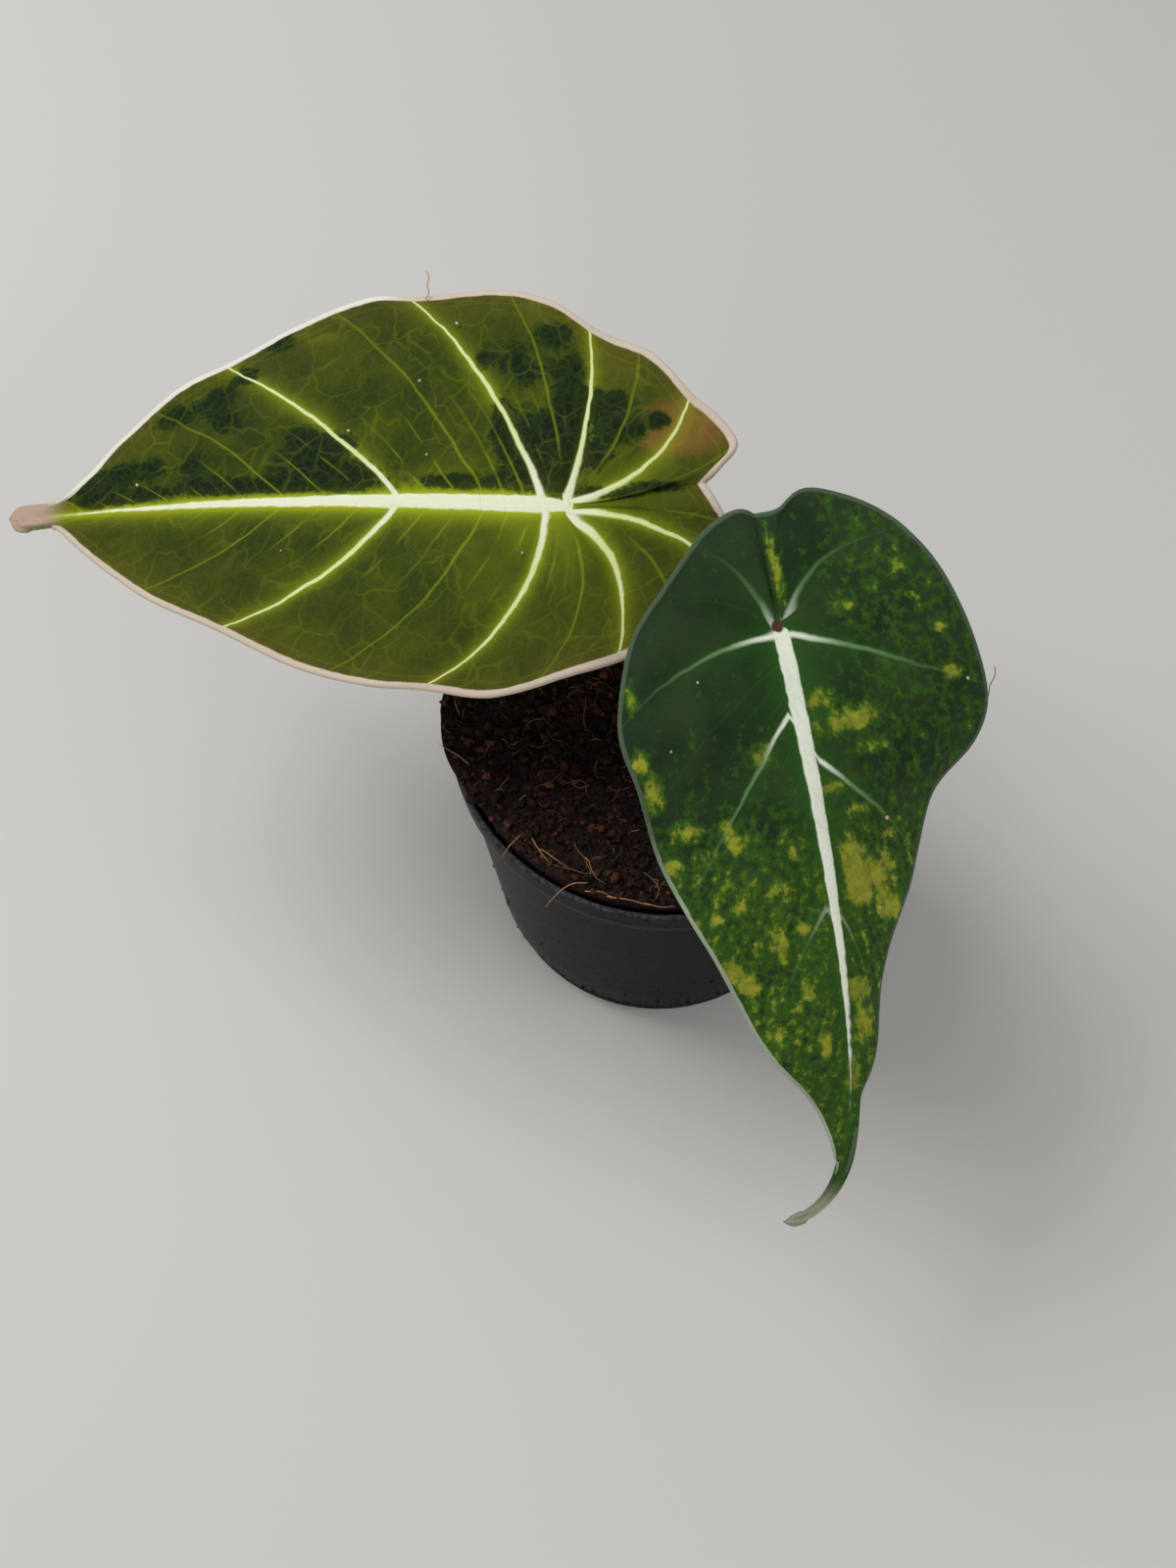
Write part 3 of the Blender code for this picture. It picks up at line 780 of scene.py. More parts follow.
RIGHT_LEAF = Leaf(
    joint=(14.9, -12.7, 119.0),
    heading=-74.6,
    pitch=26.0,
    droop=0.25,
    back_droop=0.10,
    roll=4.0,
    turn=((0.0, -0.09), (50.0, -0.16), (68.0, -0.7), (83.0, -3.0), (92.0, -1.5)),
    fold=(8.0, 8.0),
    far_fold=(8.0, -28.0),
    bow=12.0,
    minus=Half(
        side=-1,
        outline=((0, -17.9, 0.6), (0.35, -19.1, -2.2), (0.7, -18.2, -5.7), (1, -16.0, -9.2),
                 (1.35, -10.7, -15.1), (1.7, -3.5, -22.1), (2, 8.3, -26.5), (2.35, 18.5, -25.6),
                 (2.7, 29.7, -24.6), (3, 38.2, -22.0), (3.35, 46.5, -18.8), (3.7, 54.0, -16.3),
                 (4, 62.0, -13.3), (4.5, 70.8, -7.6), (5, 78.1, -3.5), (5.3, 83.8, -1.3),
                 (5.6, 90.0, -0.8), (5.85, 100.0, -0.7), (6, 102.0, 0.0)),
        foot=((0, -1.7), (1, -1.4), (2, 0.2), (3, 12.0), (4, 42.0), (5, 70.0), (5.3, 80.0),
              (6, 100.0)),
        bend=((0, 0.0), (1, 3.2), (2, 5.5), (3, 1.5), (4, 1.5), (5, 1.0), (6, 0.0)),
    ),
    plus=Half(
        side=1,
        outline=((0, -17.9, 0.6), (0.3, -17.8, 4.0), (0.6, -19.8, 9.0), (0.8, -16.2, 16.2),
                 (1, -11.0, 21.2), (1.5, 0.0, 26.2), (2, 14.0, 29.0), (2.35, 21.8, 26.8),
                 (2.7, 28.5, 20.6), (3, 38.2, 16.8), (3.35, 46.0, 11.7), (3.7, 54.4, 8.0),
                 (4, 62.0, 5.5), (4.5, 70.8, 2.7), (5, 77.5, 1.3), (5.3, 83.2, 0.8),
                 (5.6, 90.0, 0.7), (5.85, 100.0, 0.7), (6, 102.0, 0.0)),
        foot=((0, -1.7), (1, -1.4), (2, 0.2), (3, 19.5), (4, 44.0), (5, 70.0), (5.3, 80.0),
              (6, 100.0)),
        bend=((0, 0.0), (1, 7.5), (2, 0.5), (3, 1.5), (4, 1.5), (5, 1.0), (6, 0.0)),
    ),
)

LEFT_PATCHES = (
    Patch(85, -4, 4, 2.5), Patch(80, -7, 3, 1.5), Patch(74, -7, 2.5, 1.5), Patch(70, -16, 4, 1.8),
    Patch(60, -14, 3, 1.8), Patch(62, -19, 2.8, 2.2), Patch(45, -6, 6, 2.6), Patch(37, -4, 5, 2.5),
    Patch(40, -10, 3, 1.5), Patch(53, -29, 2.5, 1.8), Patch(58, -23, 2, 1.5), Patch(62, -4, 3, 1.2),
    Patch(16, -25, 1.8, 1.5), Patch(11, -25, 2, 2.5), Patch(5, -29, 2.6, 2), Patch(8, -22, 2, 1.6),
    Patch(2, -23, 2.5, 2.6), Patch(0, -17, 2.6, 3), Patch(2, -12, 3.2, 3), Patch(1, -6, 2.8, 3.4),
    Patch(12, -14, 1.4, 3.2), Patch(7, -7, 1.5, 2.6), Patch(-6, -17, 3, 2.4),
    Patch(-9, -13, 3, 2.2), Patch(-5, -9, 1.8, 2.4), Patch(-14, -15, 1.6, 1.2),
    Patch(-7, -2.5, 4, 0.8), Patch(-15, -4, 4, 0.8), Patch(78, -2.6, 8, 1.3),
    Patch(55, -2.8, 9, 1.2), Patch(66, -7, 2.2, 2.4), Patch(18, -3.4, 7, 1.2),
    Patch(9, -10, 2.4, 5), Patch(4, -8, 3.4, 5), Patch(46, -11, 3, 2),
    Patch(-20, -15, 5, 5, mark=Mark.BLUSH), Patch(-14, -13, 3, 3, mark=Mark.BLUSH),
)

RIGHT_PATCHES = (
    Patch(-10, 1.5, 6, 0.8), Patch(10.3, 3.2, 1.3, 2.6), Patch(14.5, 6.6, 1.9, 6),
    Patch(19, 10, 1.2, 2.2), Patch(-6, 19, 1.2, 1.2), Patch(-1, 20, 0.8, 1.2),
    Patch(4, 23, 0.8, 1.3), Patch(11, 24, 1.2, 1.9), Patch(-2, 10, 1, 2.2), Patch(17, -7, 1.8, 1.9),
    Patch(4, -24, 2.1, 0.8), Patch(14, -25, 1.4, 1.5), Patch(19, -24, 3, 1.7),
    Patch(24, 2, 1.2, 2.9), Patch(28, 7, 0.9, 2.8), Patch(33, 12, 0.9, 1.7), Patch(34, 4, 3.6, 2.2),
    Patch(40, 4, 3, 1.7), Patch(39, 9, 3.7, 3.6), Patch(45, 10, 2.2, 2.5), Patch(55, 2, 1.9, 3.1),
    Patch(61, 3, 3.5, 2.3), Patch(69, 0.5, 4, 1.5), Patch(39, -14, 1.8, 1.3),
    Patch(49, -17, 2.9, 2.1), Patch(61, -11, 2.7, 1.8), Patch(44, -5, 1.3, 1.3),
    Patch(63, -4, 3.3, 1.3), Patch(32, -5, 2, 0.9), Patch(26, -20, 1.8, 2.6),
    Patch(31, -23, 1.2, 1.8), Patch(46, -9, 3.7, 1.5), Patch(52, -14, 2, 1.8),
    Patch(54, -6, 2.6, 1), Patch(40, -18, 1.6, 1.8), Patch(27, -14, 2.1, 1.3),
    Patch(37, -8, 1.6, 1.8), Patch(30, -13, 1.3, 1.1),
)


class BladeRecipe(Recipe):
    """A blade's material, with what its mesh carries and the noise that its masks share."""

    def __init__(self, name: str) -> None:
        """Reads the mesh's attributes and sets up the noise.

        Args:
            name: The material's name.
        """
        super().__init__(name)
        self.plan = self.attribute("plan", "Vector")
        self.along = self.part(self.plan, "X")
        self.beside = self.part(self.plan, "Y")
        self.row = self.attribute("row")
        self.across = self.attribute("across")
        self.spacing = self.attribute("spacing")
        self.beyond = self.attribute("beyond_midrib")
        self.inside = self.attribute("inside_margin")
        self.under = self.attribute("under")
        self.drift = self.noise(self.plan, 0.09, 2.0) - 0.5
        self.wander = self.noise(self.plan, 0.45, 2.0) - 0.5
        self.grain = self.noise(self.plan, 2.2, 4.0, 0.6)


@dataclass(frozen=True)
class Veins:
    """The masks of a blade's veins, from 0 to 1."""

    lateral: Wire
    midrib: Wire
    glow: Wire
    fine: Wire
    net: Wire

    def thick(self) -> Wire:
        """The laterals and the midrib."""
        return self.lateral.most(self.midrib)


@dataclass(frozen=True)
class BladeFinish:
    """A velvety blade: ground, patches, veins with their glow, margin and underside.

    A spot's colour is patch in its core, patch_mid round that and patch_halo beyond. patch_cover is
    how far spots reach, patch_grain how mottled they are, patch_edge how soft, and scatter how many
    lie outside the patches. tip_from is where the tip's colour starts, and navel_size the radius of
    the brown spot over the petiole. Lengths are in millimetres.
    """

    name: str
    ground: Colour
    ground_two: Colour
    outer: Colour
    patch: Colour
    patch_mid: Colour
    patch_halo: Colour
    blush: Colour
    glow: Colour
    lateral: Colour
    midrib: Colour
    margin: Colour
    margin_pale: Colour
    below: Colour
    tip: Colour
    tip_from: float
    glow_strength: float
    glow_reach: float
    outer_strength: float
    lateral_width: float
    lateral_core: float
    midrib_inset: float
    midrib_taper: float
    midrib_head: float
    margin_width: float
    net_strength: float
    comb_strength: float
    patch_cover: float
    patch_grain: float
    patch_edge: float
    halo_strength: float
    scatter: float = 0.0
    navel: Colour = paint(84, 50, 38)
    navel_size: float = 0.0
    centre_glow: float = 0.0
    lateral_fade: float = 0.0
    first_fade: float = 0.0
    fourth_fade: float = 0.0
    sheen: float = 0.0
    specular: float = 0.1

    def material(self) -> bpy.types.Material:
        """Writes the blade's nodes on the attributes of its mesh.

        Returns:
            The material.
        """
        mix = BladeRecipe(self.name)
        veins = self.veins(mix)
        inside = mix.inside + mix.wander * 0.4
        rim = 1.0 - inside.rises(self.margin_width * 0.6, self.margin_width)
        colour = self.ground_colour(mix, veins.glow)
        colour = self.with_patches(mix, colour, veins.glow)
        colour = self.with_veins(mix, colour, veins)
        colour = self.with_edges(mix, colour, rim)
        ribs = veins.thick().most(veins.net * 0.3)
        colour = mix.blend(mix.under, colour, mix.blend(ribs, self.below, self.lateral))
        velvet = mix.noise(mix.plan, 7.0, 2.0)
        height = mix.grain * 0.35 + veins.net * -0.2 + veins.fine * -0.35 + velvet * 0.3
        rough = 0.68 - veins.thick().most(rim) * 0.22 + (mix.grain - 0.5) * 0.15
        return mix.finish(
            Base_Color=colour,
            Roughness=rough,
            Normal=mix.bump(height, 0.2),
            Sheen_Weight=self.sheen,
            Sheen_Roughness=0.4,
            Sheen_Tint=(0.85, 1.0, 0.8, 1.0),
            Specular_IOR_Level=self.specular,
        )

    def veins(self, mix: BladeRecipe) -> Veins:
        """The masks of the veins, a little kinked, with the glow beside them.

        Args:
            mix: The blade's recipe.

        Returns:
            The masks.
        """
        row, across, along, wander = mix.row, mix.across, mix.along, mix.wander
        kinked = row + (mix.drift * 1.6 + wander * 0.45) / mix.spacing.most(1.0)
        from_vein = kinked.pingpong(0.5) * mix.spacing
        first = 1.0 - (1.0 - row.rises(1.4, 1.6)) * self.first_fade
        fourth = 1.0 - row.rises(3.4, 3.6) * self.fourth_fade
        has_vein = row.rises(0.5, 0.6) * (1.0 - row.rises(4.4, 4.5)) * first * fourth
        faded = has_vein * (1.0 - across.rises(0.1, 0.9) * self.lateral_fade)
        width = self.lateral_width * (1.0 - 0.68 * across) + wander * 0.25
        lateral = (1.0 - from_vein.rises(width * self.lateral_core, width)) * faded
        head = self.midrib_head * (1.0 - along.rises(-2.0, 5.0))
        inset = self.midrib_inset + self.midrib_taper * along.rises(0.0, 90.0) + head
        beyond = mix.beyond + inset
        midrib = 1.0 - (beyond + wander * 0.5).rises(-0.12, 0.2)
        near_lateral = from_vein.fades(self.glow_reach) * faded * (1.0 - 0.6 * across)
        near_midrib = (beyond * (0.65 + 0.45 * along.rises(5.0, 65.0))).fades(self.glow_reach)
        near_petiole = mix.distance(mix.plan, (2.0, 0.0, 0.0)).fades(6.0) * self.centre_glow
        glow = near_lateral.most(near_midrib).most(near_petiole)
        fine = self.fine_veins(mix) * (1.0 - mix.under)
        return Veins(lateral, midrib, glow, fine, self.net_lines(mix))

    def fine_veins(self, mix: BladeRecipe) -> Wire:
        """The thin veins between the laterals: one half way, and a comb that starts at the midrib.

        Args:
            mix: The blade's recipe.

        Returns:
            A mask of their lines.
        """
        shift = mix.drift * 2.2 / mix.spacing.most(2.0)
        half_way = (mix.row + shift + 0.5).pingpong(0.5) * mix.spacing
        second = (1.0 - half_way.rises(0.05, 0.45)) * (1.0 - 0.55 * mix.across)
        second = second * mix.spacing.rises(5.0, 12.0)
        teeth = 6.0
        gap = mix.spacing / teeth
        comb = ((mix.row + shift * 0.6) * teeth).pingpong(0.5) * gap
        third = (1.0 - comb.rises(0.03, 0.4)) * (1.0 - mix.across.rises(0.0, 0.6))
        gate = mix.noise(mix.plan, 0.14, 1.0).rises(0.35, 0.6)
        return second.most(third * gap.rises(1.5, 3.0) * gate)

    def net_lines(self, mix: BladeRecipe) -> Wire:
        """The net of the finest veins, coarse and close, and the vein that runs inside the margin.

        Args:
            mix: The blade's recipe.

        Returns:
            A mask of their lines.
        """
        drift = mix.drift
        ripple = mix.noise(mix.plan, 0.33, 1.0) - 0.5
        way = mix.joined(drift * 5.0 + ripple * 3.0, drift * -4.0 + ripple * 3.5)
        bent = mix.moved(mix.plan, way)
        gate = mix.noise(mix.plan, 0.12, 2.0).rises(0.35, 0.65)
        coarse = (1.0 - mix.net(bent, 0.17).rises(0.0, 0.06)) * (0.35 + 0.65 * gate)
        close = (1.0 - mix.net(bent, 0.6).rises(0.0, 0.12)) * 0.3
        collar = 1.0 - mix.maths("ABSOLUTE", mix.inside - 2.6 + drift * 2.0).rises(0.05, 0.25)
        return coarse.most(close).most(collar * 0.8)

    def patch_level(self, mix: BladeRecipe) -> Wire:
        """How far a place is into a patch, mottled in streaks that run with the lateral veins.

        Args:
            mix: The blade's recipe.

        Returns:
            More than a half in a patch.
        """
        streaks = mix.noise(mix.joined(mix.row * 8.0, mix.beside * 0.45), 1.0, 3.0, 0.55)
        flecks = mix.noise(mix.plan, 0.75, 4.0, 0.62)
        shoulder = mix.beside.rises(2.0, 14.0) * (1.0 - mix.along.rises(24.0, 30.0)) * 0.6
        loose = mix.along.rises(8.0, 40.0).most(shoulder) * self.scatter
        cover = mix.attribute("variegation").most(loose)
        mottle = ((streaks - 0.5) * 0.75 + (flecks - 0.5)) * (1.0 - cover * 0.1)
        return cover * self.patch_cover + mottle * self.patch_grain + (mix.grain - 0.5) * 0.25

    def ground_colour(self, mix: BladeRecipe, glow: Wire) -> Wire:
        """The ground in two tones, with its outer zone, the blush and the glow.

        Args:
            mix: The blade's recipe.
            glow: The glow beside the veins.

        Returns:
            The colour.
        """
        cloud = mix.noise(mix.plan, 0.1, 3.0)
        colour = mix.blend(cloud.rises(0.38, 0.62), self.ground, self.ground_two)
        colour = mix.blend(mix.grain.rises(0.5, 0.75) * 0.4, colour, self.ground_two)
        outer = (mix.inside + mix.drift * 12.0).fades(6.0) * self.outer_strength
        colour = mix.blend(outer, colour, self.outer)
        blush = (mix.attribute("blush") + (mix.grain - 0.5) * 0.6).rises(0.25, 0.8)
        colour = mix.blend(blush * 0.85, colour, self.blush)
        return mix.blend(glow * self.glow_strength, colour, self.glow)

    def with_patches(self, mix: BladeRecipe, colour: Wire, glow: Wire) -> Wire:
        """Lays the patches on, from halo to core, weaker beside the veins.

        Args:
            mix: The blade's recipe.
            colour: The colour so far.
            glow: The glow beside the veins.

        Returns:
            The colour.
        """
        level = self.patch_level(mix)
        halo = level.rises(0.22, 0.5) * self.halo_strength
        colour = mix.blend(halo * (1.0 - glow * 0.6), colour, self.patch_halo)
        motley = (mix.noise(mix.plan, 0.55, 4.0, 0.65) + (mix.grain - 0.5) * 0.3).rises(0.4, 0.6)
        core = level.rises(0.45, 1.2) * 1.15 - motley * 0.55
        patch = level.rises(0.5, 0.5 + self.patch_edge) * (1.0 - glow * 0.5)
        return mix.blend(patch, colour, mix.blend(core, self.patch_mid, self.patch))

    def with_veins(self, mix: BladeRecipe, colour: Wire, veins: Veins) -> Wire:
        """Draws the veins, finest first, and the brown spot over the petiole.

        Args:
            mix: The blade's recipe.
            colour: The colour so far.
            veins: The veins' masks.

        Returns:
            The colour.
        """
        colour = mix.blend(veins.net * self.net_strength, colour, self.glow)
        colour = mix.blend(veins.fine * self.comb_strength, colour, self.glow)
        outwards = mix.blend(mix.across.rises(0.0, 0.28), self.midrib, self.lateral)
        colour = mix.blend(veins.lateral, colour, outwards)
        colour = mix.blend(veins.midrib, colour, self.midrib)
        if self.navel_size > 0.0:
            away = mix.distance(mix.plan, (-1.3, -0.2, 0.0)) + mix.wander
            spot = 1.0 - away.rises(self.navel_size * 0.7, self.navel_size)
            colour = mix.blend(spot, colour, self.navel)
        return colour

    def with_edges(self, mix: BladeRecipe, colour: Wire, rim: Wire) -> Wire:
        """Colours the margin, paler on the minus half towards the tip, and the tip itself.

        Args:
            mix: The blade's recipe.
            colour: The colour so far.
            rim: The margin's mask.

        Returns:
            The colour.
        """
        far_side = mix.along.rises(18.0, 45.0) * (1.0 - mix.beside.rises(-1.0, 1.0))
        paleness = (far_side + mix.drift * 1.2).rises(0.1, 0.9)
        colour = mix.blend(rim, colour, mix.blend(paleness, self.margin, self.margin_pale))
        return mix.blend(mix.along.rises(self.tip_from, self.tip_from + 7.0), colour, self.tip)


PALE_BLADE = BladeFinish(
    name="pale_velvet_blade",
    ground=paint(60, 72, 8),
    ground_two=paint(42, 57, 8),
    outer=paint(92, 84, 24),
    patch=paint(12, 28, 12),
    patch_mid=paint(24, 42, 10),
    patch_halo=paint(36, 52, 8),
    blush=paint(120, 84, 42),
    glow=paint(168, 182, 26),
    lateral=paint(216, 226, 160),
    midrib=paint(230, 234, 204),
    margin=paint(206, 190, 172),
    margin_pale=paint(226, 224, 212),
    below=paint(116, 128, 70),
    tip=paint(182, 156, 138),
    tip_from=90.0,
    glow_strength=0.95,
    glow_reach=1.2,
    centre_glow=0.75,
    outer_strength=0.55,
    lateral_width=0.85,
    lateral_core=0.35,
    midrib_inset=0.2,
    midrib_taper=0.32,
    midrib_head=0.7,
    margin_width=0.95,
    net_strength=0.11,
    comb_strength=0.36,
    patch_cover=1.05,
    patch_grain=1.0,
    patch_edge=0.08,
    halo_strength=0.75,
)

DARK_BLADE = BladeFinish(
    name="dark_velvet_blade",
    ground=paint(42, 58, 30),
    ground_two=paint(26, 44, 22),
    outer=paint(40, 58, 36),
    patch=paint(152, 152, 48),
    patch_mid=paint(78, 108, 24),
    patch_halo=paint(50, 84, 20),
    blush=paint(40, 70, 40),
    glow=paint(44, 92, 26),
    lateral=paint(104, 142, 92),
    midrib=paint(228, 233, 214),
    margin=paint(74, 90, 68),
    margin_pale=paint(150, 162, 138),
    below=paint(98, 112, 78),
    tip=paint(146, 146, 124),
    tip_from=87.0,
    glow_strength=0.75,
    glow_reach=2.0,
    outer_strength=0.5,
    lateral_width=0.8,
    lateral_core=0.1,
    lateral_fade=0.9,
    first_fade=0.5,
    fourth_fade=0.75,
    midrib_inset=0.4,
    midrib_taper=0.6,
    midrib_head=0.15,
    margin_width=0.35,
    net_strength=0.1,
    comb_strength=0.2,
    patch_cover=1.08,
    patch_grain=1.75,
    patch_edge=0.4,
    halo_strength=0.8,
    scatter=0.52,
    navel_size=1.1,
    sheen=0.16,
)


# What each point of a blade tells its finish, besides its place on the plan and its face
BLADE_VALUES = (
    "row", "across", "spacing", "beyond_midrib", "inside_margin", "variegation", "blush",
)


class Zone(Enum):
    """The bands of a blade's grid, from the midrib's middle out to the cord of the margin."""

    RIB = "rib"
    BLADE = "blade"
    BEAD = "bead"


@dataclass
class Blade:
    """A leaf blade: a grid bent into place, with its underside, its ribs and its margin's cord."""

    name: str
    node: str
    slot: str
    leaf: Leaf
    finish: BladeFinish
    patches: tuple[Patch, ...]
    bead: float
    thickness: float = 0.8
    rows_each: int = 34
    columns_each: int = 34
    bead_columns: int = 4
    rib_columns: int = 3
    midrib_depth: float = 1.4
    midrib_dome: float = 0.3
    rib_depth: float = 0.7
    rib_half_width: float = 0.9
    swell: float = 0.7
    edge_wave: float = 0.8
    groove: float = 0.3
    groove_half_width: float = 1.3
    ridge: float = 0.2
    ridge_half_width: float = 0.45
    unevenness: float = 0.25
    bump_size: float = 7.0
    plan: Plan = field(init=False)
    surface: Surface = field(init=False)

    def __post_init__(self) -> None:
        """Sets up the plan and the bent surface."""
        self.plan = Plan(self.leaf)
        self.surface = Surface(self.leaf, self.plan)

    def rows(self) -> list[float]:
        """Rows from notch to tip, closer together at the lateral veins.

        Returns:
            The rows.
        """
        shares = [crowded(i / self.rows_each, 0.5) for i in range(self.rows_each)]
        found = [whole + share for whole in range(LAST_ROW) for share in shares]
        return found + [float(LAST_ROW)]

    def columns(self) -> list[tuple[Zone, float]]:
        """Columns of one half from the midrib's middle outwards, as the zone and the share of it.

        Returns:
            Pairs of zone and share.
        """
        count = self.columns_each
        rib = [(Zone.RIB, i / self.rib_columns) for i in range(self.rib_columns)]
        blade = [(Zone.BLADE, crowded(i / count, 0.6)) for i in range(count + 1)]
        bead = [(Zone.BEAD, i / self.bead_columns) for i in range(1, self.bead_columns + 1)]
        return rib + blade + bead

    def to_lateral(self, row: float, spacing: float) -> float:
        """Distance to the nearest lateral vein, large where there is none.

        Args:
            row: The row.
            spacing: Millimetres to the next row.

        Returns:
            The distance.
        """
        if row < 0.5 or row > 5.4:
            return NO_VEIN
        return abs(row - min(5, max(1, round(row)))) * spacing

    def relief(self, row: float, across: float, away: float, spot: Vector, share: float) -> float:
        """How far the upper face stands off the smooth surface.

        Args:
            row: The row.
            across: 0 at the midrib and 1 at the margin.
            away: Distance to the nearest lateral vein.
            spot: The plan's point.
            share: 0 in the midrib's middle and 1 from its edge on.

        Returns:
            The height.
        """
        swell = self.swell * math.sin(math.pi * row) ** 2 * math.sin(math.pi * across)
        wave = self.edge_wave * across**3 * math.sin(math.tau * row)
        ridge = self.ridge * math.exp(-((away / self.ridge_half_width) ** 2))
        groove = self.groove * math.exp(-((away / self.groove_half_width) ** 2))
        vein = (ridge - groove) * (1.0 - 0.6 * across) * share
        rough = self.unevenness * noise.noise(Vector((spot.x, spot.y, 0.0)) / self.bump_size)
        return swell + wave + vein + rough

    def outward(self, half: Half, row: float, normal: Vector) -> Vector:
        """The direction off the margin in the blade's own face.

        Args:
            half: The half of the leaf.
            row: The row.
            normal: The blade's normal there.

        Returns:
            The direction.
        """
        step = 0.02
        low, high = max(0.0, row - step), min(float(LAST_ROW), row + step)
        before = self.surface.place(*self.plan.point(half, low, 1.0))[0]
        after = self.surface.place(*self.plan.point(half, high, 1.0))[0]
        inner = self.surface.place(*self.plan.point(half, row, 0.97))[0]
        edge = self.surface.place(*self.plan.point(half, row, 1.0))[0]
        plain = (edge - inner).normalized()
        square = (after - before).cross(normal).normalized()
        if square.dot(plain) < 0.0:
            square.negate()
        ease = smoothstep(0.0, 0.2, row) * smoothstep(LAST_ROW, LAST_ROW - 0.15, row)
        return plain.lerp(square, ease).normalized()

    def sample(self, half: Half, row: float, zone: Zone, share: float) -> dict[str, object]:
        """Everything that one grid point needs.

        Args:
            half: The half of the leaf.
            row: Its row.
            zone: The band that it lies in.
            share: How far through the band it is.

        Returns:
            The upper and lower point and the values of the attributes.
        """
        across = {Zone.RIB: 0.0, Zone.BLADE: share, Zone.BEAD: 1.0}[zone]
        spot = self.plan.point(half, row, across)
        spacing = self.plan.spacing(half, row, across)
        away = self.to_lateral(row, spacing)
        near_rib = math.exp(-((away / self.rib_half_width) ** 2))
        rib = self.rib_depth * max(0.0, 1.0 - across) ** 0.7 * near_rib
        dome = 0.0
        if zone is Zone.RIB:
            feet = [self.plan.foot(each, row).x for each in (self.leaf.minus, self.leaf.plus)]
            spot = Vector((sum(feet) / 2.0, 0.0)).lerp(spot, share)
            size = self.plan.midrib_half_width(spot.x) / self.leaf.midrib_radius
            crown = math.sqrt(max(0.0, 1.0 - share**2)) * size
            dome = self.midrib_dome * crown * smoothstep(-2.0, 7.0, spot.x)
            rib = max(rib * share, self.midrib_depth * crown)
        place, normal = self.surface.place(*spot)
        ribbed = share if zone is Zone.RIB else 1.0
        place = place + normal * self.relief(row, across, away, spot, ribbed)
        near = smoothstep(0.9, 1.0, across)
        thick = self.thickness / 2.0 + (self.bead - self.thickness / 2.0) * near
        top = place + normal * (thick + dome)
        bottom = place - normal * (thick + rib)
        reach = (self.plan.point(half, row, 1.0) - self.plan.point(half, row, 0.0)).length
        if zone is Zone.BEAD:
            angle = math.pi / 2.0 * (1.0 - share)
            off = self.outward(half, row, normal) * (self.bead * math.cos(angle))
            top = place + off + normal * (self.bead * math.sin(angle))
            bottom = place + off - normal * (self.bead * math.sin(angle))
        back = spot.length - self.leaf.midrib_radius
        beyond = abs(spot.y) - self.plan.midrib_half_width(spot.x) if spot.x > 0.0 else back
        return {
            "top": top,
            "bottom": bottom,
            "row": row,
            "across": across,
            "spacing": spacing,
            "beyond_midrib": beyond,
            "inside_margin": (1.0 - across) * reach,
            "variegation": self.strength(spot, Mark.VARIEGATION),
            "blush": self.strength(spot, Mark.BLUSH),
            "plan": Vector((spot.x, spot.y, 0.0)),
        }

    def strength(self, spot: Vector, mark: Mark) -> float:
        """How strongly a plan point lies in the patches of one kind, which add up to a limit."""
        kind = [patch for patch in self.patches if patch.mark is mark]
        return min(1.2, sum(patch.strength(spot.x, spot.y) for patch in kind))

    def build(self) -> bpy.types.Object:
        """Bends the double grid into the closed blade and dresses it.

        Returns:
            The blade.
        """
        columns = [(self.leaf.minus, *each) for each in reversed(self.columns())]
        columns += [(self.leaf.plus, *each) for each in self.columns()[1:]]
        rows = self.rows()
        mesh = self.double_grid(len(columns), len(rows))
        self.bend(mesh, columns, rows)
        bmesh.ops.remove_doubles(mesh, verts=mesh.verts, dist=MERGE)
        bmesh.ops.recalc_face_normals(mesh, faces=mesh.faces)
        piece = added(mesh, self.name, self.finish.material())
        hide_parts(self.node)
        return piece

    def double_grid(self, columns: int, rows: int) -> bmesh.types.BMesh:
        """A flat grid that knows each point's column and line, with a copy for the underside.

        Args:
            columns: Points across the blade.
            rows: Points along it.

        Returns:
            The bmesh, whose layers for the finish are still empty.
        """
        mesh = bmesh.new()
        bmesh.ops.create_grid(mesh, x_segments=columns - 1, y_segments=rows - 1, size=0.5)
        for name in ("column", "line"):
            mesh.verts.layers.int.new(name)
        for name in (*BLADE_VALUES, "under"):
            mesh.verts.layers.float.new(name)
        mesh.verts.layers.float_vector.new("plan")
        column, line = mesh.verts.layers.int["column"], mesh.verts.layers.int["line"]
        for vert in mesh.verts:
            vert[column] = round((vert.co.x + 0.5) * (columns - 1))
            vert[line] = round((vert.co.y + 0.5) * (rows - 1))
        under = mesh.verts.layers.float["under"]
        whole = mesh.verts[:] + mesh.edges[:] + mesh.faces[:]
        for item in bmesh.ops.duplicate(mesh, geom=whole)["geom"]:
            if isinstance(item, bmesh.types.BMVert):
                item[under] = 1.0
        return mesh

